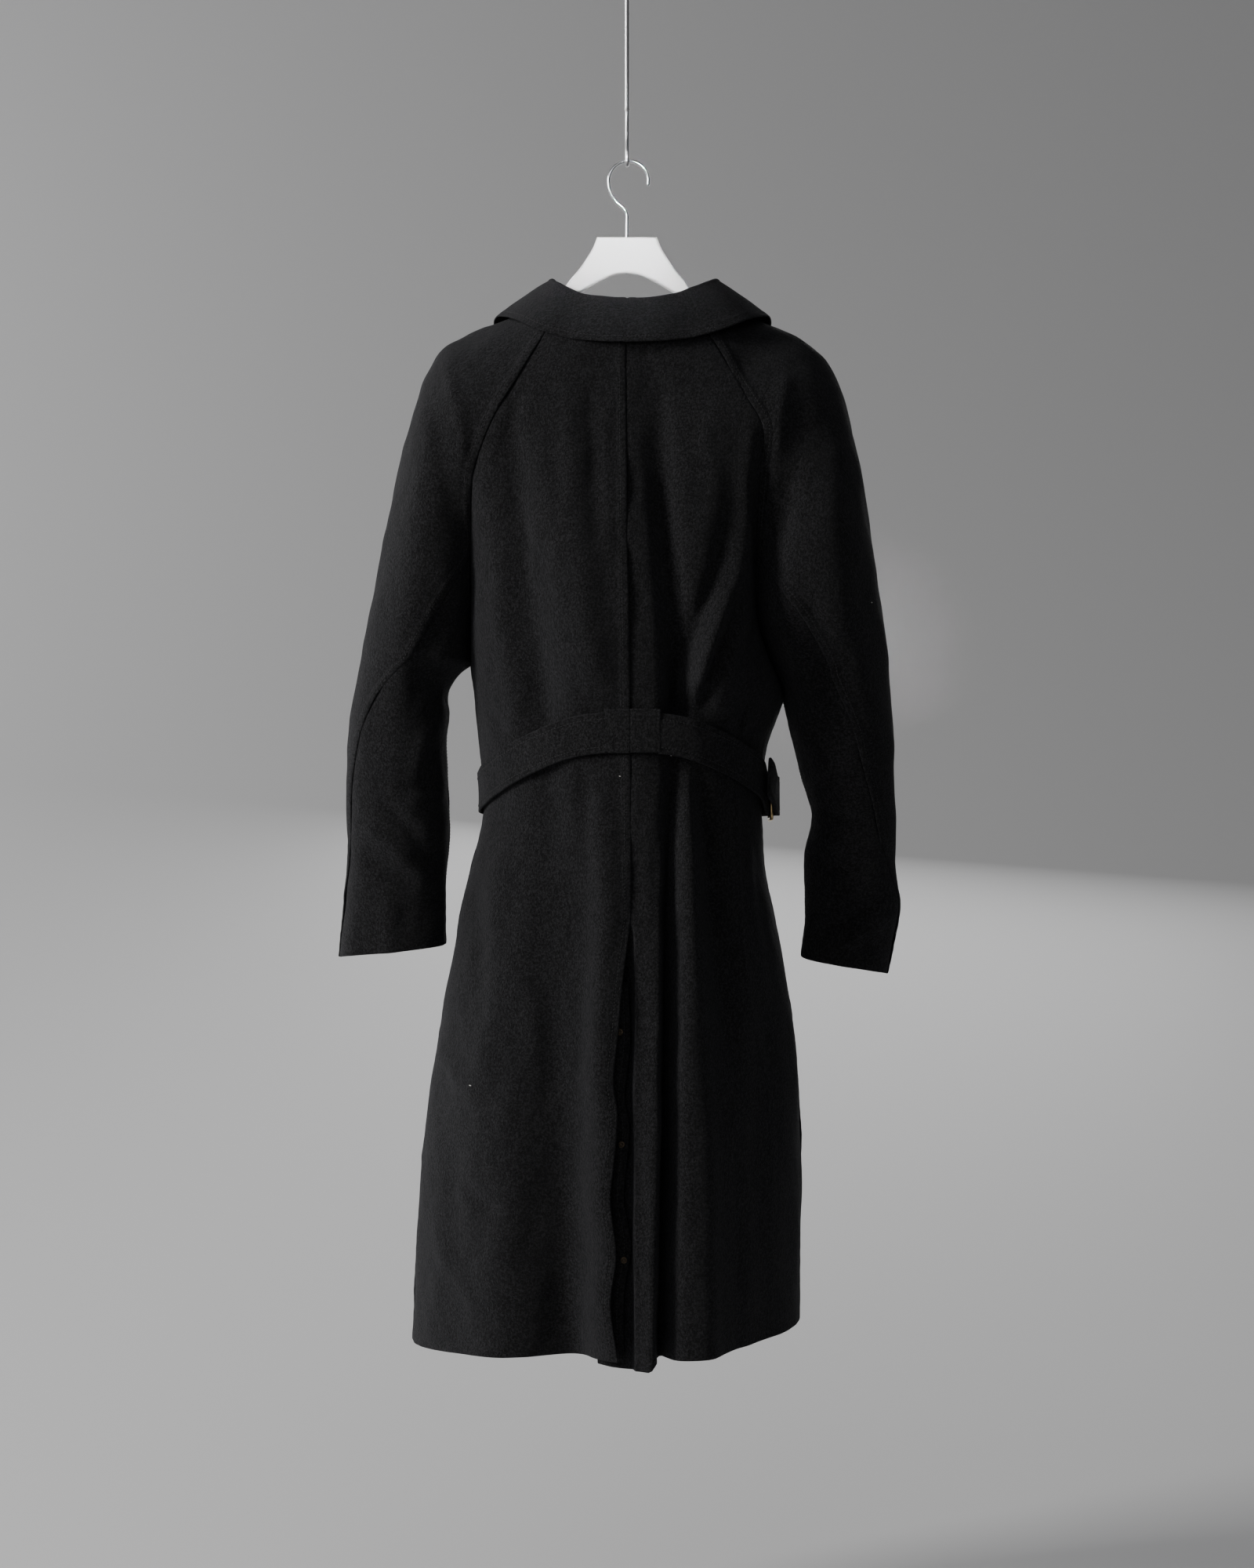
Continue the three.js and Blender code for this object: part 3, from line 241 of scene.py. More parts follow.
# The vent: the upper layer's free edge, the fly's edge behind it and the snaps.
VENT_EDGE = table("z x", [
    (-1000, 4), (-1067, -4.8), (-1115, -8.8), (-1163, -13.5), (-1195, -9.6), (-1243, -12.8), (-1282, -16.7),
    (-1338, -11), (-1386, -16.7), (-1448, -8.8),
])
FLY_EDGE = table("z x", [
    (-1060, 1), (-1123, 3.2), (-1179, -2.4), (-1211, 2.4), (-1282, -3.2), (-1330, 4), (-1378, -3.2),
    (-1450, -3.6),
])
SNAPS = table("x z", [
    (-4.8, -1113), (-3.2, -1227), (-0.8, -1344),
])

# How a section leaves the centre and reaches the side.
SECTION = table("v centre side bodyTurn sleeveTurn sleeveSide sleeveOuter", [
    (0.00, 0.36, 0.30, 28, -38, 0.30, 0.30), (0.15, 0.38, 0.32, 16, -22, 0.34, 0.34),
    (0.35, 0.42, 0.32, 22, 4, 0.36, 0.42), (0.50, 0.44, 0.34, 44, 30, 0.42, 0.62),
    (0.65, 0.46, 0.37, 68, 62, 0.54, 0.74), (0.82, 0.47, 0.38, 84, 82, 0.70, 0.76),
    (1.00, 0.47, 0.38, 90, 90, 0.80, 0.76), (1.25, 0.45, 0.37, 90, 90, 0.68, 0.66),
    (1.60, 0.43, 0.36, 90, 90, 0.56, 0.56), (2.00, 0.42, 0.36, 90, 90, 0.40, 0.40),
])

# Where the elbow seam runs, as a share of the way round the sleeve.
ELBOW_SEAM = {
    LEFT: table("v share", [
        (0.665, 0.006), (0.69, 0.016), (0.81, 0.119), (0.91, 0.196), (1.04, 0.271), (1.14, 0.341),
        (1.23, 0.381), (1.36, 0.410), (1.49, 0.426), (1.65, 0.445), (2.00, 0.500),
    ]),
    RIGHT: table("v share", [
        (0.61, 0.006), (0.65, 0.022), (0.73, 0.085), (0.84, 0.160), (0.95, 0.207), (1.08, 0.248),
        (1.17, 0.272), (1.33, 0.297), (1.49, 0.337), (1.62, 0.387), (1.79, 0.460), (2.00, 0.500),
    ]),
}

# The largest folds of the back: x is the path, rise is outward and width is half a fold.
FOLDS = tables("z x rise width", [
    [(-440, -128, 0, 22), (-560, -118, -7, 24), (-700, -102, -14, 24), (-775, -92, -15, 20),
     (-830, -88, -6, 18), (-900, -80, -9, 24), (-1100, -73, -17, 31), (-1300, -64, -32, 39),
     (-1460, -59, -44, 41)],
    [(-420, -64, 0, 20), (-560, -54, 7, 22), (-700, -40, 11, 20), (-770, -31, 7, 18), (-800, -28, 0, 16),
     (-860, -26, 0, 16), (-920, -22, 6, 18), (-1100, -20, 8, 22), (-1460, -14, 6, 26)],
    [(-390, 12, 0, 16), (-520, 32, -7, 16), (-640, 45, -14, 15), (-770, 54, -26, 13), (-810, 52, -10, 12),
     (-860, 49, -12, 9), (-930, 45, -18, 8), (-1020, 43, -28, 8), (-1200, 40, -35, 8),
     (-1460, 36, -42, 8.5)],
    [(-470, 136, 0, 14), (-540, 128, 9, 15), (-640, 106, 15, 14), (-740, 77, 19, 12), (-785, 67, 6, 11),
     (-800, 65, 0, 10), (-860, 61, 3, 10), (-920, 62, 9, 12), (-1100, 62, 14, 18), (-1460, 62, 12, 22)],
    [(-580, 130, 0, 12), (-680, 116, 10, 13), (-760, 96, 12, 12), (-795, 90, 0, 10)],
    [(-640, 116, 0, 9), (-700, 96, -8, 9), (-760, 82, -10, 8), (-795, 78, 0, 8)],
    [(-835, 74, 0, 8), (-870, 78, -7, 9), (-930, 86, -10, 11), (-1060, 96, -8, 15), (-1200, 104, 0, 22)],
    [(-1040, 140, 0, 20), (-1150, 142, -6, 22), (-1280, 146, -8, 24), (-1460, 148, -10, 28)],
])

# The belt's middle line on the back, which holds the ridges down.
BELT_ON_BACK = table("reach z", [
    (0, -805.5), (50, -811), (85, -822), (114, -836), (143, -853), (165, -868),
])

# The collar: the line of its fold and its free edge.
COLLAR_FOLD = table("u left right y z", [
    (0.00, 0, 0, -76, -351), (0.10, -22, 26, -75, -350), (0.20, -45, 50, -69, -345.5),
    (0.30, -62, 70, -60, -337), (0.40, -75, 88, -42, -327.5), (0.47, -80, 95.5, -18, -322.5),
    (0.55, -76, 90, 8, -331), (0.70, -56, 62, 40, -366), (0.85, -30, 32, 56, -400), (1.00, -5, 5, 64, -420),
])
COLLAR_EDGE = table("u left right y z", [
    (0.00, 0, 0, -102, -401), (0.10, -30, 34, -100, -400), (0.20, -62, 66, -92, -395.5),
    (0.30, -93, 101, -84, -385), (0.38, -118, 130, -60, -371), (0.46, -140.5, 152.5, -10, -361.5),
    (0.54, -142, 153, 24, -374), (0.70, -118, 124, 62, -425), (0.85, -82, 84, 80, -470),
    (1.00, -46, 46, 88, -500),
])

# The belt: s runs over left back, left front, right front and right back.
BELT_LINE = table("s z", [
    (0.0, -805.5), (0.2, -811), (0.4, -827), (0.6, -845), (0.8, -860), (1.0, -870), (2.0, -880),
    (2.85, -874), (3.0, -873), (3.12, -871), (3.22, -857), (3.4, -841), (3.6, -825), (3.8, -811),
    (4.0, -805.5),
])

# Creases: each is a path over the cloth with a rise and a half width at each station.
BACK_CREASES = tables("x z rise width", [
    [(-20, -455, 0, 9), (-14, -520, 1.6, 10), (-10, -610, 2.2, 11), (-4, -700, 1.2, 10), (-3, -770, 0, 9)],
    [(-96, -470, 0, 14), (-84, -560, 3.0, 16), (-70, -660, 3.6, 14), (-62, -740, 2.0, 12),
     (-58, -790, 0, 10)],
    [(-146, -560, 0, 10), (-138, -640, 2.4, 11), (-126, -730, 3.0, 10), (-116, -800, 0.6, 10),
     (-112, -830, 0, 9)],
    [(-160, -770, 0, 7), (-140, -790, -2.2, 8), (-118, -822, -1.8, 8), (-104, -838, 0, 7)],
    [(78, -450, 0, 12), (88, -530, 2.6, 13), (84, -610, 3.0, 12), (74, -680, 0, 10)],
    [(138, -700, 0, 6), (124, -730, 3.2, 7), (108, -770, 3.4, 7), (98, -806, 0, 6)],
    [(146, -742, 0, 6), (132, -764, -3.0, 6), (116, -800, -3.2, 6), (108, -826, 0, 6)],
    [(150, -790, 0, 5), (140, -806, 2.4, 6), (128, -830, 2.2, 6), (122, -850, 0, 5)],
    [(-178, -930, 0, 9), (-160, -980, -2.6, 11), (-150, -1060, -3.0, 13), (-146, -1150, 0, 12)],
    [(-140, -890, 0, 10), (-136, -960, 3.0, 12), (-142, -1080, 3.4, 16), (-152, -1220, 2.0, 18),
     (-160, -1330, 0, 18)],
    [(-110, -1120, 0, 12), (-120, -1220, 2.2, 14), (-128, -1330, 3.0, 16), (-136, -1455, 3.6, 18)],
    [(-196, -1150, 0, 10), (-186, -1240, -2.2, 12), (-180, -1340, -2.8, 13), (-178, -1455, -2.0, 14)],
    [(-60, -900, 0, 9), (-58, -980, -2.4, 10), (-54, -1100, -1.6, 12), (-50, -1180, 0, 12)],
    [(26, -880, 0, 6), (20, -960, 2.0, 7), (16, -1080, 1.4, 8), (14, -1180, 0, 8)],
    [(92, -1000, 0, 10), (88, -1120, 3.0, 12), (84, -1260, 3.6, 14), (86, -1450, 4.4, 16)],
    [(112, -1200, 0, 10), (116, -1300, -3.0, 12), (118, -1450, -4.0, 14)],
    [(136, -1060, 0, 6), (146, -1100, -2.4, 7), (154, -1150, -2.0, 7), (158, -1190, 0, 7)],
    [(29, -950, 0, 10), (29, -1030, 3.4, 11), (27, -1200, 5.0, 12), (25, -1446, 6.5, 12)],
    [(-44, -832, 0, 8), (-44, -860, -3.4, 9), (-43, -910, -3.0, 10), (-42, -950, 0, 10)],
    [(126, -786, 0, 3.4), (125.5, -796, 1.5, 3.4), (120.5, -807, 1.7, 3.4), (118.5, -817, 0, 3.4)],
    [(116, -862, 0, 3.6), (115, -876, 1.4, 3.6), (115, -902, 1.5, 3.6), (114, -916, 0, 3.6)],
    [(127, -910, 0, 5), (128, -936, 2.4, 6), (130, -975, 1.4, 6), (131, -1000, 0, 6)],
    [(-206, -1120, 0, 9), (-190, -1150, 2.8, 10), (-168, -1176, 2.2, 10), (-150, -1190, 0, 9)],
    [(-176, -1262, 0, 8), (-160, -1284, -2.6, 9), (-140, -1300, -2.0, 9), (-126, -1304, 0, 8)],
    [(-120, -1040, 0, 8), (-104, -1076, 2.0, 9), (-96, -1130, 2.4, 9), (-94, -1180, 0, 8)],
    [(-208, -1300, 0, 9), (-190, -1352, 2.6, 10), (-166, -1392, 2.2, 10), (-150, -1410, 0, 9)],
    [(-112, -560, 0, 7), (-108, -600, -1.8, 8), (-112, -648, -1.4, 8), (-118, -680, 0, 7)],
    [(-124, -436, 0, 11), (-120, -474, -3.8, 12), (-118, -540, -3.8, 13), (-114, -620, -2.8, 14),
     (-108, -700, 0, 14)],
    [(-62, -428, 0, 8), (-61, -480, 1.6, 9), (-58, -560, 2.0, 10), (-56, -640, 0, 10)],
    [(-38, -440, 0, 6), (-37, -500, -1.8, 7), (-35, -580, -1.8, 7), (-32, -640, 0, 7)],
    [(-24, -460, 0, 5), (-22, -520, 1.5, 6), (-20, -600, 1.2, 6), (-16, -660, 0, 6)],
    [(30, -424, 0, 9), (35, -460, -3.2, 10), (38, -520, -4.0, 12), (43, -600, -3.2, 12), (47, -680, 0, 12)],
    [(39, -900, 0, 5), (37.5, -960, 7, 5), (35.5, -1050, 10, 5), (33, -1200, 11, 6), (31.5, -1300, 12, 6),
     (29.3, -1446, 12, 6)],
    [(30, -960, 0, 9), (29, -1040, 3, 10), (27, -1200, 4, 10), (25, -1446, 4, 10)],
    [(76, -980, 0, 12), (78, -1060, 3.6, 13), (80, -1200, 6, 14), (80, -1446, 6, 15)],
    [(-46, -900, 0, 11), (-44, -960, -5, 12), (-42, -1100, -6, 14), (-40, -1300, -4, 14),
     (-40, -1446, -3, 14)],
    [(112, -560, 0, 8), (93, -640, -6.5, 9), (73, -700, -7.5, 9), (61, -745, -6.5, 8), (54, -785, 0, 7)],
    [(40, -600, 0, 9), (45, -660, 4.2, 10), (47, -705, 5, 10), (48, -760, 0, 9)],
])

FRONT_CREASES = tables("x z rise width", [
    [(-60, -520, 0, 14), (-74, -640, -6, 18), (-84, -740, -8, 18), (-86, -800, -3, 14), (-86, -850, 0, 12)],
    [(-112, -560, 0, 14), (-118, -650, 5, 16), (-112, -760, 6, 14), (-104, -840, 0, 12)],
    [(64, -540, 0, 14), (80, -650, -7, 17), (90, -750, -8, 16), (90, -850, 0, 12)],
    [(118, -600, 0, 12), (116, -700, 6, 15), (106, -800, 5, 13), (100, -846, 0, 10)],
    [(30, -600, 0, 12), (36, -700, 3, 14), (44, -800, 3, 13), (46, -850, 0, 12)],
    [(-100, -900, 0, 14), (-104, -1000, -8, 20), (-112, -1200, -14, 28), (-118, -1460, -18, 32)],
    [(-58, -905, 0, 14), (-60, -1020, 4, 18), (-62, -1240, 8, 22), (-64, -1460, 9, 26)],
    [(-166, -960, 0, 12), (-176, -1120, 5, 16), (-186, -1300, 6, 18), (-190, -1460, 6, 20)],
    [(94, -900, 0, 14), (98, -1010, -9, 18), (106, -1220, -15, 26), (110, -1460, -18, 30)],
    [(52, -910, 0, 12), (56, -1040, 5, 16), (60, -1250, 8, 20), (62, -1460, 10, 24)],
    [(146, -980, 0, 12), (152, -1150, 4, 15), (156, -1330, 5, 16), (156, -1460, 5, 18)],
])

SLEEVE_CREASES = {
    LEFT: tables("x z rise width", [
        [(-195, -410, 0, 6), (-187, -436, 2.6, 7), (-174, -482, 3.2, 8), (-170, -522, 2.4, 8),
         (-172, -560, 0, 8)],
        [(-208, -436, 0, 9), (-198, -480, -2.8, 10), (-191, -530, -2.6, 10), (-190, -584, 0, 10)],
        [(-268, -875, 0, 8), (-252, -888, -3.6, 9), (-228, -912, -4.4, 9), (-206, -942, -1.6, 8),
         (-200, -956, 0, 8)],
        [(-280, -900, 0, 8), (-264, -914, 3.2, 9), (-240, -934, 3.6, 9), (-216, -960, 1.4, 8),
         (-206, -974, 0, 8)],
        [(-286, -930, 0, 8), (-268, -944, -2.8, 9), (-246, -958, -3.2, 9), (-224, -976, 0, 8)],
        [(-188, -770, 0, 8), (-200, -790, 3.4, 10), (-216, -826, 2.8, 10), (-226, -858, 0, 9)],
        [(-182, -640, 0, 12), (-196, -690, -4.0, 14), (-214, -740, -3.0, 14), (-226, -790, 0, 12)],
        [(-208, -560, 0, 14), (-222, -640, 3.0, 16), (-240, -730, 3.2, 16), (-254, -810, 0, 14)],
        [(-176, -500, 0, 12), (-184, -580, -2.6, 14), (-190, -650, 0, 12)],
        [(-258, -960, 0, 10), (-252, -1000, 2.2, 12), (-250, -1048, 2.6, 14)],
        [(-196, -856, 0, 7), (-212, -864, -2.6, 8), (-232, -866, -2.2, 8), (-250, -862, 0, 7)],
    ]),
    RIGHT: tables("x z rise width", [
        [(172, -424, 0, 6), (163, -448, 2.6, 7), (155, -495, 3.4, 8), (150, -560, 2.8, 8),
         (149, -610, 0, 8)],
        [(190, -440, 0, 9), (180, -490, -3.0, 11), (170, -560, -2.8, 11), (166, -620, 0, 10)],
        [(282, -980, 0, 7), (262, -992, -3.6, 8), (232, -1008, -4.2, 8), (206, -1026, -1.4, 8),
         (198, -1036, 0, 8)],
        [(286, -996, 0, 7), (268, -1008, 3.0, 8), (240, -1024, 3.2, 8), (214, -1042, 0, 8)],
        [(196, -880, 0, 7), (210, -892, -3.2, 8), (232, -900, -3.4, 8), (256, -900, -1.2, 8),
         (270, -898, 0, 8)],
        [(198, -908, 0, 7), (214, -920, 2.6, 8), (238, -930, 2.6, 8), (262, -932, 0, 8)],
        [(194, -936, 0, 7), (212, -946, -2.4, 8), (236, -958, -2.0, 8), (256, -964, 0, 8)],
        [(180, -620, 0, 12), (194, -690, -4.4, 14), (214, -760, -3.4, 14), (228, -820, 0, 12)],
        [(210, -560, 0, 14), (226, -650, 3.4, 16), (242, -740, 3.2, 16), (252, -820, 0, 14)],
        [(170, -470, 0, 12), (176, -540, 2.4, 13), (178, -610, 0, 12)],
        [(178, -790, 0, 8), (192, -812, 3.2, 9), (208, -846, 2.6, 9), (218, -872, 0, 8)],
    ]),
}

PATH_STEPS = 40
CREASE_STRENGTH = 1.05


def crease_rise(creases, x, z):
    """The summed rise of creases at places (x, z): each fades out sideways and at its ends."""
    total = np.zeros(np.broadcast(x, z).shape)
    for crease in creases:
        count = len(crease["x"])
        s = np.linspace(0, count - 1, (count - 1) * PATH_STEPS + 1)
        numbered = dict(crease, s=np.arange(count, dtype=float))
        path = at(numbered, "s", s)
        reach = 3 * crease["width"].max()
        near = (
            (x > path["x"].min() - reach) & (x < path["x"].max() + reach)
            & (z > path["z"].min() - reach) & (z < path["z"].max() + reach)
        )
        if not near.any():
            continue
        px, pz = x[near], z[near]
        away = np.hypot(px[:, None] - path["x"], pz[:, None] - path["z"])
        closest = away.argmin(axis=1)
        row = np.arange(len(closest))
        distance = away[row, closest]
        total[near] += path["rise"][closest] * bell(distance / path["width"][closest])
    return total * CREASE_STRENGTH


def fold_rise(x, z):
    """How far the cloth of the back stands out from its plain section."""
    rise = np.zeros(np.broadcast(x, z).shape)
    dip = np.zeros_like(rise)
    for fold in FOLDS:
        low = fold["z"][-1] - 20
        row = at(fold, "z", z)
        amount = row["rise"] * bell((x - row["x"]) / row["width"])
        amount = np.where((z < fold["z"][0]) & (z > low), amount, 0)
        rise += np.maximum(amount, 0)
        dip += np.minimum(amount, 0)
    from_belt = np.abs(z - at(BELT_ON_BACK, "reach", np.abs(x))["z"])
    return rise * smooth((from_belt - 26) / 46) + dip


def held_by_belt(x, z):
    """0 under the belt's middle and 1 well clear of it."""
    return smooth((np.abs(z - at(BELT_ON_BACK, "reach", np.abs(x))["z"]) - 18) / 30)


def centre_height(v):
    return at(CENTRE_BACK, "v", v)["z"]


def body_section(face, side, v):
    """The plain section of the body: t runs from the centre to the side."""
    v = np.asarray(v, float)
    centre = rail(CENTRE_BACK if face == "back" else CENTRE_FRONT, v)
    edge = rail(BACK_SIDE[side], v)
    if face == "front":
        edge = np.where((v < 1)[..., None], rail(FRONT_RAGLAN[side], v), edge)
    shape = at(SECTION, "v", v)
    outward = -1 if face == "back" else 1
    chord = np.hypot(edge[..., 0] - centre[..., 0], edge[..., 1] - centre[..., 1])
    turn = np.radians(shape["bodyTurn"])
    drop = edge[..., 2] - centre[..., 2]
    p1 = centre + stack(side * shape["centre"] * chord, 0, 0)
    p2 = edge + stack(
        -side * np.cos(turn) * shape["side"] * chord,
        outward * np.sin(turn) * shape["side"] * chord,
        -drop / 3,
    )
    return centre, p1, p2, edge


def body_plain(face, side, t, v):
    """A point of the body without folds. Below 0, t runs on past the centre."""
    t, v = np.broadcast_arrays(np.asarray(t, float), np.asarray(v, float))
    own = bezier(*body_section(face, side, v), np.abs(t))
    if (t < 0).any():
        other = bezier(*body_section(face, -side, v), np.abs(t))
        own = np.where((t < 0)[..., None], other, own)
    return own


def body_outward(face, side, t, v):
    """The horizontal direction out of the plain body."""
    ahead = body_plain(face, side, t + 0.002, v) - body_plain(face, side, t - 0.002, v)
    way = side if face == "back" else -side
    return unit(stack(way * ahead[..., 1], -way * ahead[..., 0], 0 * ahead[..., 0]))


def body_point(face, side, t, v):
    p = body_plain(face, side, t, v)
    x, z = p[..., 0], p[..., 2]
    if face == "back":
        rise = fold_rise(x, z) + crease_rise(BACK_CREASES, x, z) * held_by_belt(x, z)
    else:
        rise = crease_rise(FRONT_CREASES, x, z)
    fade = 1 - smooth((np.abs(t) - 0.82) / 0.18)
    return p + body_outward(face, side, t, v) * (rise * fade)[..., None]


def v_at_z(face, side, t, z):
    """The v at which a section of the plain body reaches one height."""
    t, z = np.broadcast_arrays(np.asarray(t, float), np.asarray(z, float))
    return bisect(lambda v: body_plain(face, side, t, v)[..., 2] > z, t.shape, 2)


def share_at_x(side, v, x):
    """The share of a back section at which it reaches one x."""
    v, x = np.broadcast_arrays(np.asarray(v, float), np.asarray(x, float))
    return bisect(lambda t: side * (body_plain("back", side, t, v)[..., 0] - x) < 0, v.shape, 1)


def sleeve_plain(side, t, v):
    """The sleeve's surface: t runs from the back seam over the outside to the front."""
    t, v = np.broadcast_arrays(np.asarray(t, float), np.asarray(v, float))
    low = v >= 1
    outer = rail(OUTER[side], v)
    shape = at(SECTION, "v", v)
    turn = np.radians(shape["sleeveTurn"])
    front = t > 0.5
    outward = np.where(front, 1.0, -1.0)
    seam = np.where(front[..., None], rail(FRONT_RAGLAN[side], v), rail(BACK_SIDE[side], v))
    edge = np.where(low[..., None], rail(INNER[side], v), seam)
    chord = np.linalg.norm(edge - outer, axis=-1)
    lift = (outer[..., 2] - edge[..., 2]) * np.where(low, 1 / 3, 0.5)
    p1 = edge + stack(
        side * np.cos(turn) * shape["sleeveSide"] * chord,
        outward * np.sin(turn) * shape["sleeveSide"] * chord,
        lift,
    )
    bulge = shape["sleeveOuter"] * chord * np.where(front, 0.9, 1)
    p2 = outer + stack(0 * bulge, outward * bulge, np.where(low, -lift / 2, 0))
    return bezier(edge, p1, p2, outer, np.where(front, 2 * (1 - t), 2 * t))


def sleeve_point(side, t, v):
    p = sleeve_plain(side, t, v)
    along_t = sleeve_plain(side, t + 0.004, v) - sleeve_plain(side, t - 0.004, v)
    along_v = sleeve_plain(side, t, v + 0.004) - sleeve_plain(side, t, v - 0.004)
    normal = unit(np.cross(along_t, along_v) * -side)
    creases = SLEEVE_CREASES[side]
    x, z = p[..., 0], p[..., 2]
    edges = np.minimum(smooth(t / 0.06), smooth((1 - t) / 0.06))
    edges = np.where(v > 1, np.maximum(edges, smooth((v - 1) / 0.15)), edges)
    return p + normal * (crease_rise(creases, x, z) * edges)[..., None]


# Grids of cloth: rows run down, columns run round, and edges have finer columns.
FINE = np.array([0, 0.6, 1.3, 2.2, 3.4, 4.8, 6.0, 6.8, 7.6, 8.8, 10.6, 13])


def graded(total, middle, first=True, last=True):
    """Distances from 0 to total with finer steps at its ends."""
    fine = FINE * min(1, total / (3 * FINE[-1]))
    head = fine if first else fine[:1]
    tail = (total - fine[::-1]) if last else np.array([total])
    inner = np.linspace(head[-1], tail[0], middle + 2)[1:-1]
    return np.concatenate([head, inner, tail])


def columns_on(surface, guides, v, counts):
    """The t of every place of a grid: each strip between two guides has its own columns."""
    samples = np.linspace(0, 1, 90)
    strips = []
    last = len(counts) - 1
    for k, count in enumerate(counts):
        start, end = guides[k], guides[k + 1]
        t = start[:, None] + (end - start)[:, None] * samples
        p = surface(t, np.repeat(v[:, None], len(samples), 1))
        length = np.linalg.norm(np.diff(p, axis=1), axis=2).cumsum(axis=1)
        length = np.concatenate([np.zeros((len(v), 1)), length], axis=1)
        strip = [
            np.interp(graded(length[i, -1], count, k == 0, k == last), length[i], t[i])
            for i in range(len(v))
        ]
        strips.append(np.array(strip)[:, 0 if k == 0 else 1:])
    return np.concatenate(strips, axis=1)


def distances(p):
    """How far each place of a grid is from its left, right, top and bottom edge."""
    across = np.linalg.norm(np.diff(p, axis=1), axis=2).cumsum(axis=1)
    across = np.concatenate([np.zeros((p.shape[0], 1)), across], axis=1)
    down = np.linalg.norm(np.diff(p, axis=0), axis=2).cumsum(axis=0)
    down = np.concatenate([np.zeros((1, p.shape[1])), down], axis=0)
    return {
        "first": across,
        "last": across[:, -1:] - across,
        "top": down,
        "bottom": down[-1:] - down,
    }


def normals_of(p, turn):
    return unit(np.cross(np.gradient(p, axis=1), np.gradient(p, axis=0)) * turn)


def ripple(p, seed, scale=1.0):
    """A low unevenness of the cloth, from a few waves in fixed directions."""
    rng = np.random.default_rng(seed)
    total = np.zeros(p.shape[:-1])
    for length in (19, 24, 31, 43, 58, 80):
        for _ in range(2):
            way = unit(rng.normal(size=3) * (1, 1, 0.55))
            total += 0.0052 * length * np.sin(p @ way * (2 * math.pi / length) + rng.uniform(0, 6.3))
    return total * scale


STITCH_INSET = 6.6
HEM_DEPTH = 26


def edge_relief(kind, d, along):
    """The height of a seam or hem beside one edge, at a distance d from it."""
    pucker = 0.16 * np.sin(along / 2.1 + 1.3 * np.sin(along / 17)) * bell((d - 4) / 4)
    if kind == "lap":
        return (
            1.35 * (1 - smooth((d - 7.4) / 2.4))
            - 0.55 * bell((d - STITCH_INSET) / 0.9)
            - 0.7 * bell(d / 0.7)
            + pucker
        )
    if kind == "under":
        return -0.55 * bell(d / 1.4) + 0.5 * pucker
    if kind == "plain":
        return 0.3 * (1 - smooth((d - 9) / 5)) - 0.95 * bell(d / 1.1) + 0.8 * pucker
    if kind == "edge":
        return 0.5 * (1 - smooth((d - 8) / 3)) - 0.4 * bell((d - STITCH_INSET) / 0.9) + 0.5 * pucker
    return 0.25 * (1 - smooth((d - HEM_DEPTH) / 6)) + 0.4 * pucker


def rounding(kind, d):
    """1 in the cloth and less beside a free edge, so that the edge is round."""
    if kind in ("edge", "hem"):
        s = np.clip(d / 1.5, 0, 1)
        return np.sqrt(np.clip(1 - (1 - s) ** 2, 0.02, 1))
    return np.ones_like(d)


class Cloth:
    """One cut piece: its outer and inner face as grids, and lines along its edges."""

    def __init__(self, surface, turn, t, v, kinds, seed, ripples=1.0):
        rows = np.repeat(np.asarray(v)[:, None], t.shape[1], 1)
        base = surface(t, rows)
        normal = normals_of(base, turn)
        self.far = distances(base)
        height = ripple(base, seed, ripples)
        half = np.full(height.shape, CLOTH / 2)
        for edge, spans in kinds.items():
            across = self.far["top"] if edge in ("first", "last") else self.far["first"]
            for kind, low, high in spans:
                share = smooth((rows - low) / 0.012 + 0.5) * smooth((high - rows) / 0.012 + 0.5)
                height = height + share * edge_relief(kind, self.far[edge], across)
                half = half * (1 - share + share * rounding(kind, self.far[edge]))
        core = base + normal * (height - CLOTH / 2)[..., None]
        self.normal = normals_of(core, turn)
        self.outer = core + self.normal * half[..., None]
        self.inner = core - self.normal * half[..., None]

    def line(self, edge, inset, skip_start, skip_end):
        """Places on the outer face at one distance from an edge, and the normals there."""
        far = self.far[edge]
        points, normals = [], []
        lines = range(far.shape[0]) if edge in ("first", "last") else range(far.shape[1])
        for i in lines:
            if edge in ("first", "last"):
                d, p, n = far[i], self.outer[i], self.normal[i]
            else:
                d, p, n = far[:, i], self.outer[:, i], self.normal[:, i]
            if edge in ("last", "bottom"):
                d, p, n = d[::-1], p[::-1], n[::-1]
            if inset < d[-1]:
                points.append([np.interp(inset, d, p[:, k]) for k in range(3)])
                normals.append([np.interp(inset, d, n[:, k]) for k in range(3)])
        points, normals = np.array(points), unit(np.array(normals))
        run = run_along(points)
        kept = (run >= skip_start) & (run <= run[-1] - skip_end)
        return points[kept], normals[kept]


# Meshes.
def new_object(name, points, faces, material):
    mesh = bpy.data.meshes.new(name)
    mesh.from_pydata((np.asarray(points) * MM).tolist(), [], [list(map(int, f)) for f in faces])
    mesh.validate()
    mesh.polygons.foreach_set("use_smooth", [True] * len(mesh.polygons))
    mesh.update()
    mesh.materials.append(material)
    thing = bpy.data.objects.new(name, mesh)
    bpy.context.scene.collection.objects.link(thing)
    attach(thing, "root")
    return thing


def volume_of(points, faces):
    p = np.asarray(points)
    f = np.asarray(faces)
    total = np.einsum("ij,ij->", p[f[:, 0]], np.cross(p[f[:, 1]], p[f[:, 2]]))
    return total + np.einsum("ij,ij->", p[f[:, 0]], np.cross(p[f[:, 2]], p[f[:, 3]]))


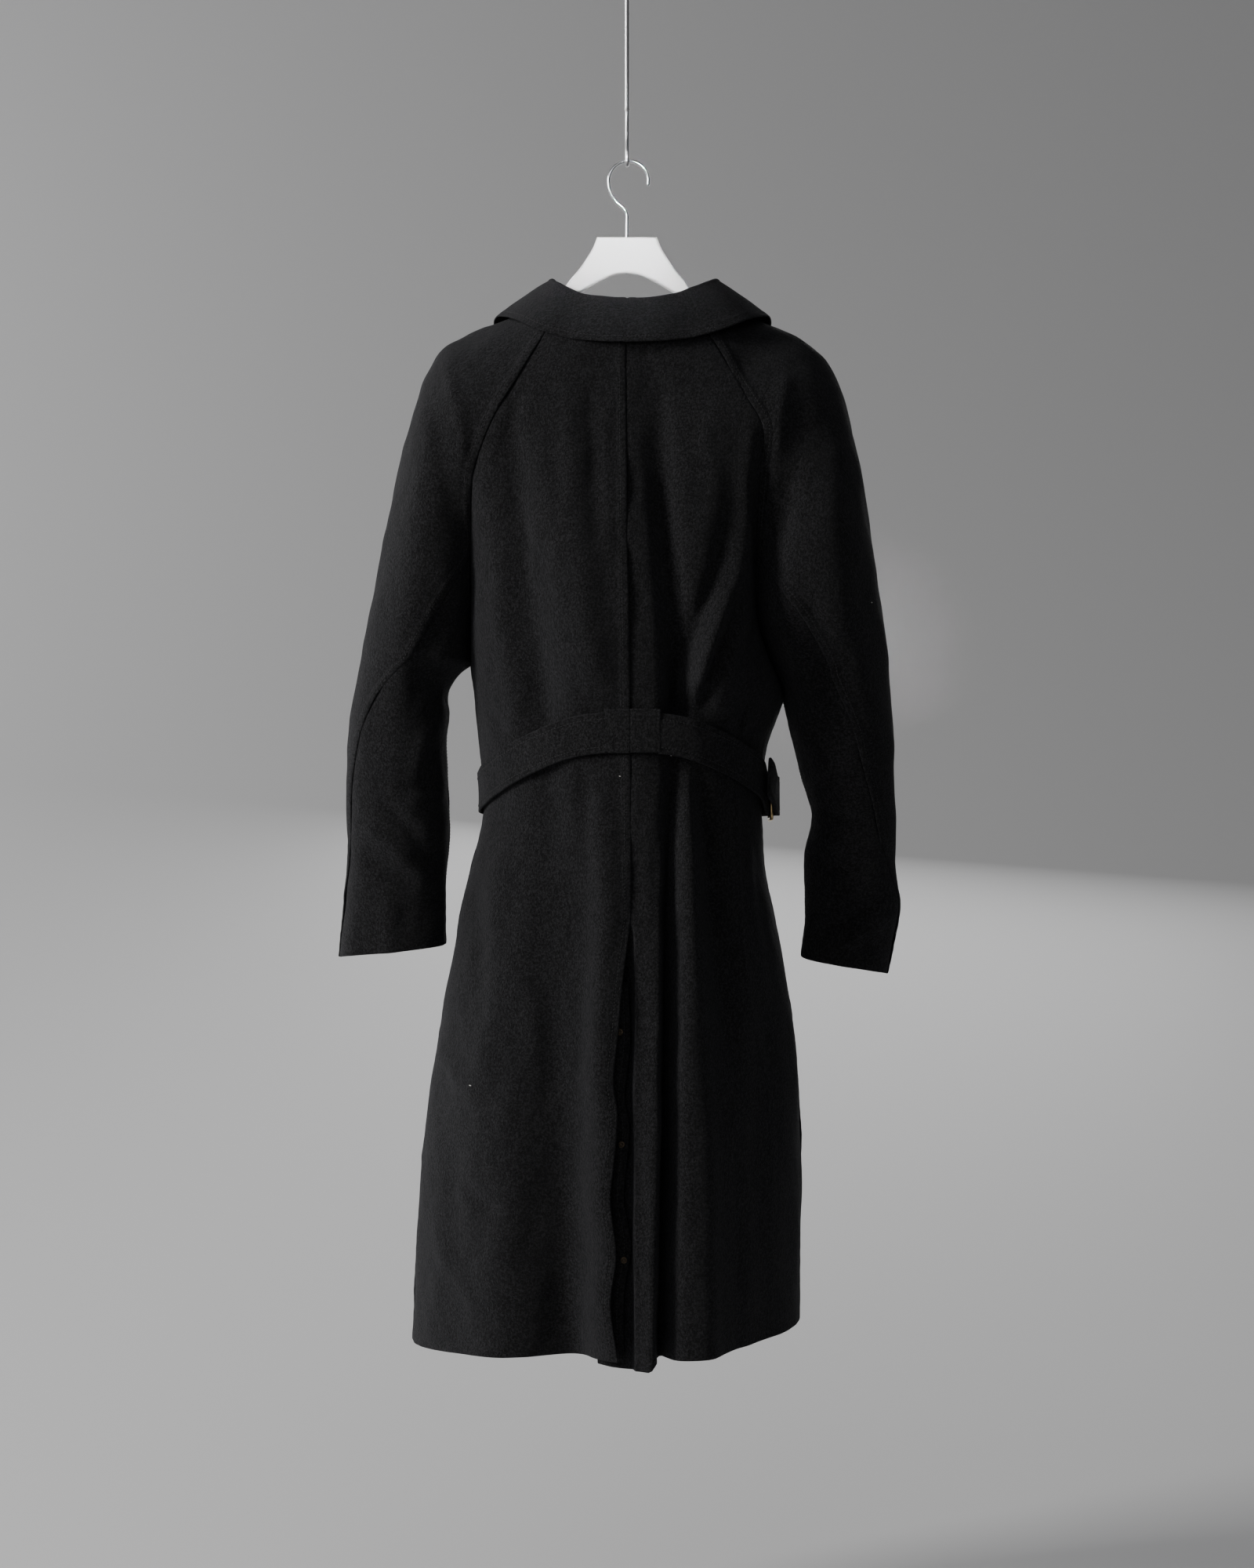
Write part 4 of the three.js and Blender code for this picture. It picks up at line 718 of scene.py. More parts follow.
def shell(name, outer, inner, material):
    """A closed shell between two grids."""
    rows, columns = outer.shape[:2]
    points = np.concatenate([outer.reshape(-1, 3), inner.reshape(-1, 3)])
    number = np.arange(rows * columns).reshape(rows, columns)
    behind = number + rows * columns

    def quads(a, b, c, d):
        return np.stack([a.ravel(), b.ravel(), c.ravel(), d.ravel()], 1)

    faces = [
        quads(number[:-1, :-1], number[1:, :-1], number[1:, 1:], number[:-1, 1:]),
        quads(behind[:-1, :-1], behind[:-1, 1:], behind[1:, 1:], behind[1:, :-1]),
        quads(number[0, :-1], number[0, 1:], behind[0, 1:], behind[0, :-1]),
        quads(number[-1, :-1], behind[-1, :-1], behind[-1, 1:], number[-1, 1:]),
        quads(number[:-1, 0], behind[:-1, 0], behind[1:, 0], number[1:, 0]),
        quads(number[:-1, -1], number[1:, -1], behind[1:, -1], behind[:-1, -1]),
    ]
    faces = np.concatenate(faces)
    if volume_of(points, faces) < 0:
        faces = faces[:, ::-1]
    return new_object(name, points, faces, material)


def frames_along(points):
    """Two cross directions at each point of a path, without twist."""
    points = np.asarray(points, float)
    tangent = unit(np.gradient(points, axis=0))
    side = np.cross(tangent[0], (0.13, 0.97, 0.21))
    sides = []
    for way in tangent:
        side = unit(side - way * (side @ way))
        sides.append(side)
    sides = np.array(sides)
    return sides, np.cross(tangent, sides)


def smooth_path(points, steps):
    """A smooth path through a few points."""
    points = np.asarray(points, float)
    tab = {"s": np.arange(len(points), dtype=float), "x": points[:, 0], "y": points[:, 1], "z": points[:, 2]}
    row = at(tab, "s", np.linspace(0, len(points) - 1, steps))
    return stack(row["x"], row["y"], row["z"])


def tube_parts(path, radius, sides=20, rounded=True):
    """Points and faces of a round bar along a path, with domed ends."""
    path = np.asarray(path, float)
    radii = np.full(len(path), float(radius))
    if rounded:
        tangent = unit(np.gradient(path, axis=0))
        angles = np.radians([5, 30, 60])
        head = [path[0] - tangent[0] * radius * math.cos(a) for a in angles]
        tail = [path[-1] + tangent[-1] * radius * math.cos(a) for a in angles[::-1]]
        radii = np.concatenate([radius * np.sin(angles), radii, radius * np.sin(angles[::-1])])
        path = np.concatenate([head, path, tail])
    a, b = frames_along(path)
    turn = np.linspace(0, 2 * math.pi, sides, endpoint=False)
    rings = path[:, None] + radii[:, None, None] * (
        a[:, None] * np.cos(turn)[:, None] + b[:, None] * np.sin(turn)[:, None]
    )
    return ring_parts(rings)


def ring_parts(rings):
    """Points and faces of a row of closed rings, with both ends filled."""
    count, sides = rings.shape[:2]
    number = np.arange(count * sides).reshape(count, sides)
    follow = np.roll(number, -1, axis=1)
    faces = np.stack([number[:-1], follow[:-1], follow[1:], number[1:]], -1).reshape(-1, 4).tolist()
    faces.append(number[0, ::-1].tolist())
    faces.append(number[-1].tolist())
    return rings.reshape(-1, 3), faces


def joined(parts):
    points, faces, start = [], [], 0
    for p, f in parts:
        points.append(np.asarray(p))
        faces += [[int(i) + start for i in face] for face in f]
        start += len(p)
    return np.concatenate(points), faces


def turned_parts(profile, centre, axis, sides=40):
    """Points and faces of a profile (radius, height) turned about an axis."""
    axis = unit(np.asarray(axis, float))
    a = unit(np.cross(axis, (0.3, 0.2, 0.93)))
    b = np.cross(axis, a)
    turn = np.linspace(0, 2 * math.pi, sides, endpoint=False)
    rings = np.array([
        centre + axis * height + max(radius, 0.02) * (np.cos(turn)[:, None] * a + np.sin(turn)[:, None] * b)
        for radius, height in profile
    ])
    return ring_parts(rings)


STITCH_LENGTH = 2.7
STITCH_GAP = 0.9
STITCH_RADIUS = 0.34


def stitch_parts(line, normals):
    """A row of stitches along a line on the cloth, each a small spindle of thread."""
    run = run_along(line)
    step = STITCH_LENGTH + STITCH_GAP
    count = int(run[-1] / step)
    starts = np.arange(count) * step

    def sample(values, places):
        return np.stack([np.interp(places, run, values[:, k]) for k in range(3)], -1)

    up = unit(sample(normals, starts + STITCH_LENGTH / 2))
    ends = sample(line, starts), sample(line, starts + STITCH_LENGTH)
    along = unit(ends[1] - ends[0])
    across = np.cross(along, up)
    turn = np.linspace(0, 2 * math.pi, 5, endpoint=False)
    ring = np.cos(turn)[:, None, None] * across + np.sin(turn)[:, None, None] * up
    head = ends[0] + (ends[1] - ends[0]) * 0.25 + up * 0.16
    tail = ends[0] + (ends[1] - ends[0]) * 0.75 + up * 0.16
    points = np.concatenate([
        (ends[0] - up * 0.25)[:, None],
        (head + STITCH_RADIUS * ring).transpose(1, 0, 2),
        (tail + STITCH_RADIUS * ring).transpose(1, 0, 2),
        (ends[1] - up * 0.25)[:, None],
    ], axis=1)
    faces = []
    for k in range(5):
        m = (k + 1) % 5
        faces += [[0, 1 + m, 1 + k], [1 + k, 1 + m, 6 + m, 6 + k], [6 + k, 6 + m, 11]]
    every = [[i + 12 * j for i in face] for j in range(count) for face in faces]
    return points.reshape(-1, 3), every


# Materials.
def principled(name, colour, roughness, metallic=0.0):
    made = bpy.data.materials.new(name)
    made.use_nodes = True
    tree = made.node_tree
    shader = tree.nodes["Principled BSDF"]
    shader.inputs["Base Color"].default_value = (*colour, 1)
    shader.inputs["Roughness"].default_value = roughness
    shader.inputs["Metallic"].default_value = metallic
    return made, tree, shader


def noise(tree, scale, detail=2.0, roughness=0.5):
    place = tree.nodes.new("ShaderNodeTexCoord")
    texture = tree.nodes.new("ShaderNodeTexNoise")
    texture.inputs["Scale"].default_value = scale
    texture.inputs["Detail"].default_value = detail
    texture.inputs["Roughness"].default_value = roughness
    tree.links.new(place.outputs["Object"], texture.inputs["Vector"])
    return texture.outputs["Fac"]


def ramp(tree, value, low, high, dark, light):
    node = tree.nodes.new("ShaderNodeValToRGB")
    node.color_ramp.elements[0].position = low
    node.color_ramp.elements[0].color = (*dark, 1)
    node.color_ramp.elements[1].position = high
    node.color_ramp.elements[1].color = (*light, 1)
    tree.links.new(value, node.inputs["Fac"])
    return node.outputs["Color"]


def bump(tree, height, strength, distance, under=None):
    node = tree.nodes.new("ShaderNodeBump")
    node.inputs["Strength"].default_value = strength
    node.inputs["Distance"].default_value = distance
    tree.links.new(height, node.inputs["Height"])
    if under is not None:
        tree.links.new(under, node.inputs["Normal"])
    return node.outputs["Normal"]


def wool_material(name, dark, light):
    made, tree, shader = principled(name, light, 0.86)
    mottled = tree.nodes.new("ShaderNodeMix")
    mottled.data_type = "RGBA"
    mottled.inputs["Factor"].default_value = 0.15
    fine = ramp(tree, noise(tree, 400, 4, 0.8), 0.455, 0.585, dark, light)
    broad = ramp(tree, noise(tree, 90, 3, 0.6), 0.35, 0.68, dark, light)
    tree.links.new(fine, mottled.inputs["A"])
    tree.links.new(broad, mottled.inputs["B"])
    tree.links.new(mottled.outputs["Result"], shader.inputs["Base Color"])
    soft = bump(tree, noise(tree, 230, 2, 0.6), 0.7, 0.002)
    nap = bump(tree, noise(tree, 560, 3, 0.75), 1.0, 0.0034, soft)
    tree.links.new(nap, shader.inputs["Normal"])
    shader.inputs["Specular IOR Level"].default_value = 0.2
    shader.inputs["Sheen Weight"].default_value = 0.05
    shader.inputs["Sheen Roughness"].default_value = 0.4
    shader.inputs["Sheen Tint"].default_value = (0.86, 0.88, 1.0, 1)
    return made


WOOL = wool_material("black_wool", (0.0006, 0.0006, 0.0008), (0.0185, 0.0182, 0.020))
BELT_WOOL = wool_material("belt_wool", (0.0008, 0.0008, 0.001), (0.0205, 0.0202, 0.0218))
THREAD, _, _ = principled("black_thread", (0.0095, 0.0095, 0.0108), 0.6)
LINT, _, _ = principled("lint", (0.62, 0.61, 0.58), 0.9)


def metal_material(name, colour, roughness, wear):
    made, tree, shader = principled(name, colour, roughness, 1.0)
    grain = bump(tree, noise(tree, 900, 2), wear, 0.0002)
    tree.links.new(grain, shader.inputs["Normal"])
    return made


STEEL = metal_material("polished_steel", (0.66, 0.67, 0.69), 0.13, 0.04)
ROD_STEEL = metal_material("rod_steel", (0.46, 0.46, 0.47), 0.3, 0.12)
BRASS = metal_material("aged_brass", (0.50, 0.37, 0.19), 0.3, 0.2)
# The snaps' brass is painted far darker than the buckle's: painted shade for the dark gap of the vent where
# the snaps sit.
SHADED_SNAP_BRASS = metal_material("snap_brass_painted_shade", (0.07, 0.055, 0.04), 0.34, 0.2)


def board_material():
    made, tree, shader = principled("white_board", (0.88, 0.885, 0.9), 0.4)
    tree.links.new(bump(tree, noise(tree, 240, 3), 0.08, 0.0003), shader.inputs["Normal"])
    return made


def button_material():
    made, tree, shader = principled("dark_horn", (0.02, 0.02, 0.021), 0.34)
    streaks = ramp(tree, noise(tree, 130, 4, 0.6), 0.35, 0.75, (0.007, 0.007, 0.007), (0.045, 0.041, 0.037))
    tree.links.new(streaks, shader.inputs["Base Color"])
    return made


BOARD = board_material()
HORN = button_material()


# The back. Its rows follow the height of the centre, with finer rows at the hem.
def rows_by_height(tab, low, high, step):
    v = np.linspace(low, high, 600)
    run = np.abs(at(tab, "v", v)["z"] - at(tab, "v", low)["z"])
    places = graded(run[-1], int(run[-1] / step), first=False)
    return np.interp(places, run, v)


ROW_STEP = 3.7
BODY_ROWS = rows_by_height(CENTRE_BACK, 0, 2, ROW_STEP)
VENT_SWING = 0.4
VENT_LIFT = 7


def vent_reach(t):
    return np.clip(1 - t / VENT_SWING, 0, 1) ** 2


def vent_lift(t, v):
    return VENT_LIFT * smooth((v - VENT_V) / 0.12) * vent_reach(t)


def back_left_point(t, v):
    p = body_point("back", LEFT, t, v)
    swing = at(VENT_EDGE, "z", centre_height(v))["x"] - VENT_EDGE["x"][0]
    p[..., 0] += np.where(v > VENT_V, swing * vent_reach(t), 0)
    p[..., 1] -= vent_lift(t, v)
    return p


# At the vent the right back turns under, and its underlap hangs a little lower.
TURN_X = 4.4
TURN_WIDTH = 4
TURN_SINK = 3.4
UNDERLAP_SINK = 9
UNDERLAP_DROP = 10
SIDE_LINE_WIDTH = 2.2

# The right side seam's ridge, which the photograph shows on the back below the belt.
SIDE_LINE = table("z x rise", [
    (-377, 60, 0), (-560, 96, 0), (-740, 124, 0), (-792, 125, 1.0), (-810, 121, 1.3), (-832, 117, 0.6),
    (-876, 115, 1.1), (-916, 115, 1.2), (-970, 118, 1.0), (-1077, 126, 0.9), (-1130, 138, 1.0),
    (-1165, 147, 1.1), (-1230, 151, 1.0), (-1290, 151, 0.8), (-1446, 152, 0.6),
])


def back_right_point(t, v):
    p = body_point("back", RIGHT, t, v)
    line = at(SIDE_LINE, "z", p[..., 2])
    p[..., 1] -= line["rise"] * bell((p[..., 0] - line["x"]) / SIDE_LINE_WIDTH)
    trough = at(FOLDS[2], "z", centre_height(v))["x"]
    middle = 1 - smooth((p[..., 0] - trough) / 15 + 1)
    behind = 1 - smooth((p[..., 0] - TURN_X) / TURN_WIDTH)
    sink = TURN_SINK * smooth((v - VENT_V) / 0.018) + UNDERLAP_SINK * smooth((v - VENT_V) / 0.12)
    p[..., 1] += sink * behind
    p[..., 2] -= UNDERLAP_DROP * middle * smooth((v - 1.75) / 0.25)
    return p


BACK_COLUMNS = 62
UNDERLAP_X = -34
starts = np.zeros(len(BODY_ROWS))
ends = np.ones(len(BODY_ROWS))
RAGLAN_THEN_SIDE = [("under", -1, 1), ("plain", 1, 3)]
HEM = [("hem", -1, 3)]

cloths = {}
grid = columns_on(back_left_point, [starts, ends], BODY_ROWS, [BACK_COLUMNS])
cloths["back_left"] = Cloth(
    back_left_point, 1, grid, BODY_ROWS,
    {"first": [("lap", -1, VENT_V), ("edge", VENT_V, 3)], "last": RAGLAN_THEN_SIDE, "bottom": HEM},
    seed=11,
)
underlap = -share_at_x(LEFT, BODY_ROWS, UNDERLAP_X) * smooth((BODY_ROWS - VENT_V - 0.004) / 0.03)
turned_in = np.maximum(underlap, 0) + 0.004
turned_out = share_at_x(RIGHT, BODY_ROWS, TURN_X + TURN_WIDTH) + 0.012
side_line = share_at_x(RIGHT, BODY_ROWS, at(SIDE_LINE, "z", centre_height(BODY_ROWS))["x"])
guides = [underlap, turned_in, turned_out, side_line - 0.02, side_line + 0.02, ends]
grid = columns_on(back_right_point, guides, BODY_ROWS, [2, 7, 42, 5, 16])
cloths["back_right"] = Cloth(
    back_right_point, -1, grid, BODY_ROWS,
    {"first": [("under", -1, VENT_V), ("edge", VENT_V + 0.03, 3)], "last": RAGLAN_THEN_SIDE, "bottom": HEM},
    seed=12,
)


# The vent's fly, a strip behind the left edge that carries the snaps.
def share_on_back(v, x):
    left = share_at_x(LEFT, v, x)
    right = -share_at_x(RIGHT, v, x)
    return np.where(x < at(CENTRE_BACK, "v", v)["x"], left, right)


FLY_WIDTH = 42
FLY_DEPTH = 5.6
FLY_SEAT = 0.9


def fly_point(s, v):
    s, v = np.broadcast_arrays(np.asarray(s, float), np.asarray(v, float))
    x = at(FLY_EDGE, "z", centre_height(v))["x"] - FLY_WIDTH * s
    t = share_on_back(v, x)
    p = body_point("back", LEFT, t, v)
    sewn = SOLID_CLOTH - FLY_SEAT - vent_lift(np.clip(t, 0, 1), v)
    p[..., 1] += FLY_DEPTH + (sewn - FLY_DEPTH) * smooth(s)
    return p


fly_rows = rows_by_height(CENTRE_BACK, VENT_V + 0.09, 2, ROW_STEP)
grid = columns_on(fly_point, [0 * fly_rows, 0 * fly_rows + 1], fly_rows, [6])
cloths["vent_fly"] = Cloth(
    fly_point, 1, grid, fly_rows, {"first": [("edge", -1, 3)], "bottom": HEM}, seed=13, ripples=0.6,
)


# The fronts: the left one lies over the right one at the button line.
UNDER_LAYER_SINK = 2.9


def front_surface(side):
    def surface(t, v):
        p = body_point("front", side, t, v)
        if side == RIGHT:
            sink = 1 - smooth((p[..., 0] - FRONT_OVERLAP - 4) / 30)
            p[..., 1] -= sink * UNDER_LAYER_SINK
        return p
    return surface


for side in (LEFT, RIGHT):
    width = np.where(
        BODY_ROWS < 1,
        np.abs(at(FRONT_RAGLAN[side], "v", BODY_ROWS)["x"]),
        np.abs(at(BACK_SIDE[side], "v", BODY_ROWS)["x"]),
    )
    surface = front_surface(side)
    grid = columns_on(surface, [-FRONT_OVERLAP / width * 0.72, ends], BODY_ROWS, [50])
    cloths["front_" + SIDE_NAMES[side]] = Cloth(
        surface, side, grid, BODY_ROWS,
        {"first": [("edge", -1, 3)], "last": RAGLAN_THEN_SIDE, "bottom": HEM}, seed=20 + side,
    )


# The sleeves: an upper piece over shoulder, outside and front, and an under piece behind.
for side in (LEFT, RIGHT):
    seam = ELBOW_SEAM[side]
    start_v = seam["v"][0]
    rows = rows_by_height(OUTER[side], 0, 2, 3.2)

    def surface(t, v, side=side):
        return sleeve_point(side, t, v)

    share = at(seam, "v", rows)["share"] * smooth((rows - start_v + 0.02) / 0.04)
    grid = columns_on(surface, [share, 0 * rows + 1], rows, [64])
    cloths[f"sleeve_{SIDE_NAMES[side]}_upper"] = Cloth(
        surface, -side, grid, rows,
        {"first": [("lap", -1, 3)], "last": [("lap", -1, 1), ("plain", 1, 3)], "bottom": HEM},
        seed=30 + side,
    )
    rows = rows_by_height(OUTER[side], start_v, 2, 3.2)
    share = at(seam, "v", rows)["share"]
    grid = columns_on(surface, [0 * rows, share], rows, [26])
    cloths[f"sleeve_{SIDE_NAMES[side]}_under"] = Cloth(
        surface, -side, grid, rows,
        {"first": [("lap", -1, 1), ("plain", 1, 3)], "last": [("under", -1, 3)], "bottom": HEM},
        seed=40 + side,
    )

for name, cloth in cloths.items():
    piece = shell("cloth_" + name, cloth.outer, cloth.inner, WOOL)
    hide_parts(name)


# The collar: a stand on the neck edge that folds over into the fall.
FOLD_RADIUS = 4.0
NECK_SPLIT = (0.3, 0.6)
COLLAR_END = 0.985


def neck_point(side, u):
    """The neck edge at one place round the collar, on the inner face of the walls."""
    def inside(surface, t, turn):
        along_t = surface(t + 0.002, 0.001) - surface(t - 0.002, 0.001)
        along_v = surface(t, 0.003) - surface(t, 0.0)
        return surface(t, 0.0) - unit(np.cross(along_t, along_v) * turn) * SOLID_CLOTH

    if u <= NECK_SPLIT[0]:
        return inside(lambda t, v: body_plain("back", side, t, v), u / NECK_SPLIT[0], -side)
    if u <= NECK_SPLIT[1]:
        t = (u - NECK_SPLIT[0]) / (NECK_SPLIT[1] - NECK_SPLIT[0])
        return inside(lambda a, v: sleeve_plain(side, a, v), t, -side) + (0, 0, 1.4)
    t = 1 - (u - NECK_SPLIT[1]) / (1 - NECK_SPLIT[1])
    return inside(lambda a, v: body_plain("front", side, a, v), t, side)


STAND_STEPS = 12
TURN_STEPS = 12
FALL_STEPS = 34


def collar_section(side, u):
    """One section of the collar: up the stand, over the fold and down the fall."""
    name = SIDE_NAMES[side]
    fold_row, edge_row = at(COLLAR_FOLD, "u", u), at(COLLAR_EDGE, "u", u)
    root = neck_point(side, u) + (0, 0, 0.5)
    fold = np.array([fold_row[name], fold_row["y"], fold_row["z"]])
    edge = np.array([edge_row[name], edge_row["y"], edge_row["z"]])
    out = edge - root
    out[2] = 0
    out = unit(out)
    middle = fold - (0, 0, FOLD_RADIUS)
    angles = np.radians(np.linspace(0, 160, TURN_STEPS))
    arc = middle + FOLD_RADIUS * (-np.cos(angles)[:, None] * out + np.sin(angles)[:, None] * (0, 0, 1))
    stand = root + (arc[0] - root) * np.linspace(0, 1, STAND_STEPS)[:-1, None]
    end = arc[-1]
    bow = (end + edge) / 2 + out * 2 + (0, 0, 2)
    fall_length = np.linalg.norm(edge - end)
    s = (graded(fall_length, FALL_STEPS - len(FINE), first=False) / fall_length)[1:, None]
    fall = end * (1 - s) ** 2 + bow * 2 * s * (1 - s) + edge * s**2
    return np.concatenate([stand, arc, fall])


def collar_grid():
    u = np.concatenate([np.linspace(0, 0.6, 62), np.linspace(0.6, COLLAR_END, 40)[1:]])
    left = [collar_section(LEFT, k) for k in u[:0:-1]]
    right = [collar_section(RIGHT, k) for k in u]
    return np.array(left + right)


middle = collar_grid()
far = distances(middle)
normal = normals_of(middle, 1)
height = ripple(middle, 51, 0.6)
fall_side = smooth((far["first"] - 34) / 12)
height += fall_side * edge_relief("edge", far["last"], far["top"])
centre_seam = far["top"] - far["top"][np.abs(middle[:, -1, 0]).argmin()]
height += 0.35 * (1 - smooth((np.abs(centre_seam) - 7) / 3)) - 0.9 * bell(centre_seam / 0.9)
half = CLOTH / 2 * rounding("edge", far["last"])
half = half * rounding("edge", far["top"]) * rounding("edge", far["bottom"])
middle = middle + normal * (height - CLOTH / 2)[..., None]
normal = normals_of(middle, 1)
collar_outer = middle + normal * half[..., None]
collar_inner = middle - normal * half[..., None]
piece = shell("cloth_collar", collar_outer, collar_inner, WOOL)
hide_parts("collar")

# Belt.
BELT_FACES = [("back", LEFT), ("front", LEFT), ("front", RIGHT), ("back", RIGHT)]


def belt_point(s, rise):
    """The body's surface at a place along the belt's line, moved up by rise."""
    s, rise = np.broadcast_arrays(np.asarray(s, float), np.asarray(rise, float))
    quarter = np.minimum(np.floor(s), 3).astype(int)
    t = np.where(quarter % 2 == 0, s - quarter, quarter + 1 - s)
    z = at(BELT_LINE, "s", s)["z"] + rise
    points = np.zeros((*s.shape, 3))
    for i, (face, side) in enumerate(BELT_FACES):
        here = quarter == i
        if here.any():
            v = v_at_z(face, side, t[here], z[here])
            points[here] = body_plain(face, side, t[here], v)
    return points


def belt_normal(s):
    s = np.asarray(s, float)
    along = belt_point(np.minimum(s + 0.01, 4), 0) - belt_point(np.maximum(s - 0.01, 0), 0)
    return unit(stack(-along[..., 1], along[..., 0], 0 * along[..., 0]))


def strap_rings(stations, offset, thickness, width, seed):
    """Rings of points round a strap's section, with rounded edges and stitched-in borders."""
    half, r = width / 2, thickness / 2
    across = np.linspace(-1, 1, 25)
    face = [(half - r) * k for k in across]
    groove = [-0.3 * bell((abs(x) - half + 5) / 1.0) - 0.25 * smooth((abs(x) - half + 4) / 3) for x in face]
    corner = np.radians([70, 45, 20, 0, -20, -45, -70])
    front = [(x, thickness + g) for x, g in zip(face, groove)]
    back = [(x, 0.0) for x in face[::-1]]
    high = [(half - r + r * math.cos(a), r + r * math.sin(a)) for a in corner]
    low = [(-half + r - r * math.cos(a), r - r * math.sin(a)) for a in corner]
    profile = np.array(front + high + back + low)
    n = belt_normal(stations)
    rise = np.repeat(profile[None, :, 0], len(stations), 0)
    base = belt_point(np.repeat(stations[:, None], len(profile), 1), rise)
    wave = ripple(base, seed, 0.7)
    out = offset[:, None] + profile[None, :, 1] + wave
    return base + n[:, None] * out[..., None]


TAB_SHARES = {
    side: float(share_at_x(side, 1.08, TAB_CENTRE_X + side * TAB_WIDTH / 2)) for side in (LEFT, RIGHT)
}
TAB_START, TAB_END = TAB_SHARES[LEFT], 4 - TAB_SHARES[RIGHT]
END_LAP = 0.012
BUCKLE = {"front": 2.89, "rear": 3.11, "height": 54, "wire": 3.6, "bar": 4, "lift": 3.2}
BUCKLE_SEAT = BELT_CLEARANCE + BUCKLE["lift"] + BELT_THICKNESS + 1.35
OVER_REAR_BAR = BUCKLE_SEAT + BUCKLE["wire"] + 1.2

long_stations = np.concatenate([
    np.linspace(TAB_START - END_LAP, 2.85, 230), np.linspace(2.85, 3.26, 60)[1:],
])
long_offset = (
    BELT_CLEARANCE + BUCKLE["lift"] * smooth((long_stations - 2.7) / 0.15)
    + (OVER_REAR_BAR - BELT_CLEARANCE - BUCKLE["lift"]) * smooth((long_stations - 2.91) / 0.15)
)
long_rings = strap_rings(long_stations, long_offset, BELT_THICKNESS, BELT_WIDTH, 61)
short_stations = np.linspace(3.07, TAB_END + END_LAP, 70)
short_offset = BELT_CLEARANCE + BUCKLE["lift"] * smooth((3.4 - short_stations) / 0.2)
short_rings = strap_rings(short_stations, short_offset, BELT_THICKNESS, BELT_WIDTH, 62)


SEAM_IN_TAB_X = 3.4


def tab_rings():
    """The tab sewn over the belt's ends at the centre back."""
    half = BELT_WIDTH / 2 + 1.5
    k = np.sort(np.concatenate([np.linspace(-1, 1, 64), np.linspace(-0.12, -0.02, 8)]))
    lines = np.concatenate([np.linspace(1, -1, 26), np.linspace(-1, 1, 26)])
    depth = np.repeat([BELT_CLEARANCE + BELT_THICKNESS + 0.7, BELT_CLEARANCE - 0.6], 26)
    inset = np.abs(np.abs(lines) - 1) < 0.02
    rings = np.zeros((len(k), len(lines), 3))
    for i, share in enumerate(k):
        x = TAB_CENTRE_X + share * TAB_WIDTH / 2
        side = LEFT if x < 3 else RIGHT
        z = BELT_LINE["z"][0] + lines * half
        v = v_at_z("back", side, 0.1, z)
        base = body_plain("back", side, share_at_x(side, v, x), v)
        sewn_down = 0.3 * bell((abs(share) - 0.86) / 0.03)
        sewn_down = sewn_down + 0.35 * bell((np.abs(lines) * half - half + 3.4) / 1.0)
        sewn_down = sewn_down + 0.5 * bell((x - SEAM_IN_TAB_X) / 0.9)
        sewn_down = sewn_down + 0.5 * smooth((abs(share) - 0.93) / 0.07)
        out = depth - np.where(depth > 4, sewn_down, 0) - np.where(inset, 0.9 * np.sign(depth - 4), 0)
        rings[i] = base - stack(0, out, 0)
    return rings


tab = tab_rings()
for name, rings in (("belt_long", long_rings), ("belt_short", short_rings), ("belt_tab", tab)):
    piece = new_object("cloth_" + name, *ring_parts(rings), BELT_WOOL)
    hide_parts(name)


# Buckle: a round-edged frame and its prong.
def buckle_axes():
    places = [BUCKLE["front"], BUCKLE["rear"]]
    spots = [belt_point(place, 0) + belt_normal(place) * BUCKLE_SEAT for place in places]
    along = spots[0] - spots[1]
    length = np.linalg.norm(along)
    along = along / length
    outward = unit(np.array([along[1], -along[0], 0]))
    if outward @ belt_normal(BUCKLE["front"]) < 0:
        outward = -outward
    return spots[1], along, np.cross(outward, along), outward, length


def rounded_rectangle(half_width, half_height, radius, count):
    corners = [(1, -1, -90), (1, 1, 0), (-1, 1, 90), (-1, -1, 180)]
    points = []
    for sx, sy, start in corners:
        for a in np.radians(np.linspace(start, start + 90, count)):
            points.append((
                sx * (half_width - radius) + radius * math.cos(a),
                sy * (half_height - radius) + radius * math.sin(a),
            ))
    return np.array(points)


rear, along, up, outward, frame_length = buckle_axes()
bar = BUCKLE["bar"]
path = rounded_rectangle(frame_length / 2, BUCKLE["height"] / 2 - bar / 2, 5, 12)
path = np.concatenate([path, path[:1]])
run = run_along(path)
places = np.linspace(0, run[-1], 121)[:-1]
path = np.stack([np.interp(places, run, path[:, k]) for k in (0, 1)], -1)
ways = unit(np.roll(path, -1, axis=0) - np.roll(path, 1, axis=0))
turn = np.linspace(0, 2 * math.pi, 18, endpoint=False)
ring_u = np.sign(np.cos(turn)) * np.abs(np.cos(turn)) ** 0.75 * bar / 2
ring_w = np.sign(np.sin(turn)) * np.abs(np.sin(turn)) ** 0.75 * BUCKLE["wire"] / 2 + BUCKLE["wire"] / 2
centre = rear + along * frame_length / 2
outwards = np.stack([ways[:, 1], -ways[:, 0]], -1)
flat = path[:, None] + outwards[:, None] * ring_u[None, :, None]
rings = centre + flat[..., :1] * along + flat[..., 1:] * up + ring_w[None, :, None] * outward
number = np.arange(rings.shape[0] * rings.shape[1]).reshape(rings.shape[:2])
follow, nxt = np.roll(number, -1, axis=1), np.roll(number, -1, axis=0)
faces = np.stack([number, follow, np.roll(follow, -1, axis=0), nxt], -1).reshape(-1, 4)
if volume_of(rings.reshape(-1, 3), faces) < 0:
    faces = faces[:, ::-1]
buckle = new_object("buckle_frame_round", rings.reshape(-1, 3), faces, BRASS)
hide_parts("buckle_frame")

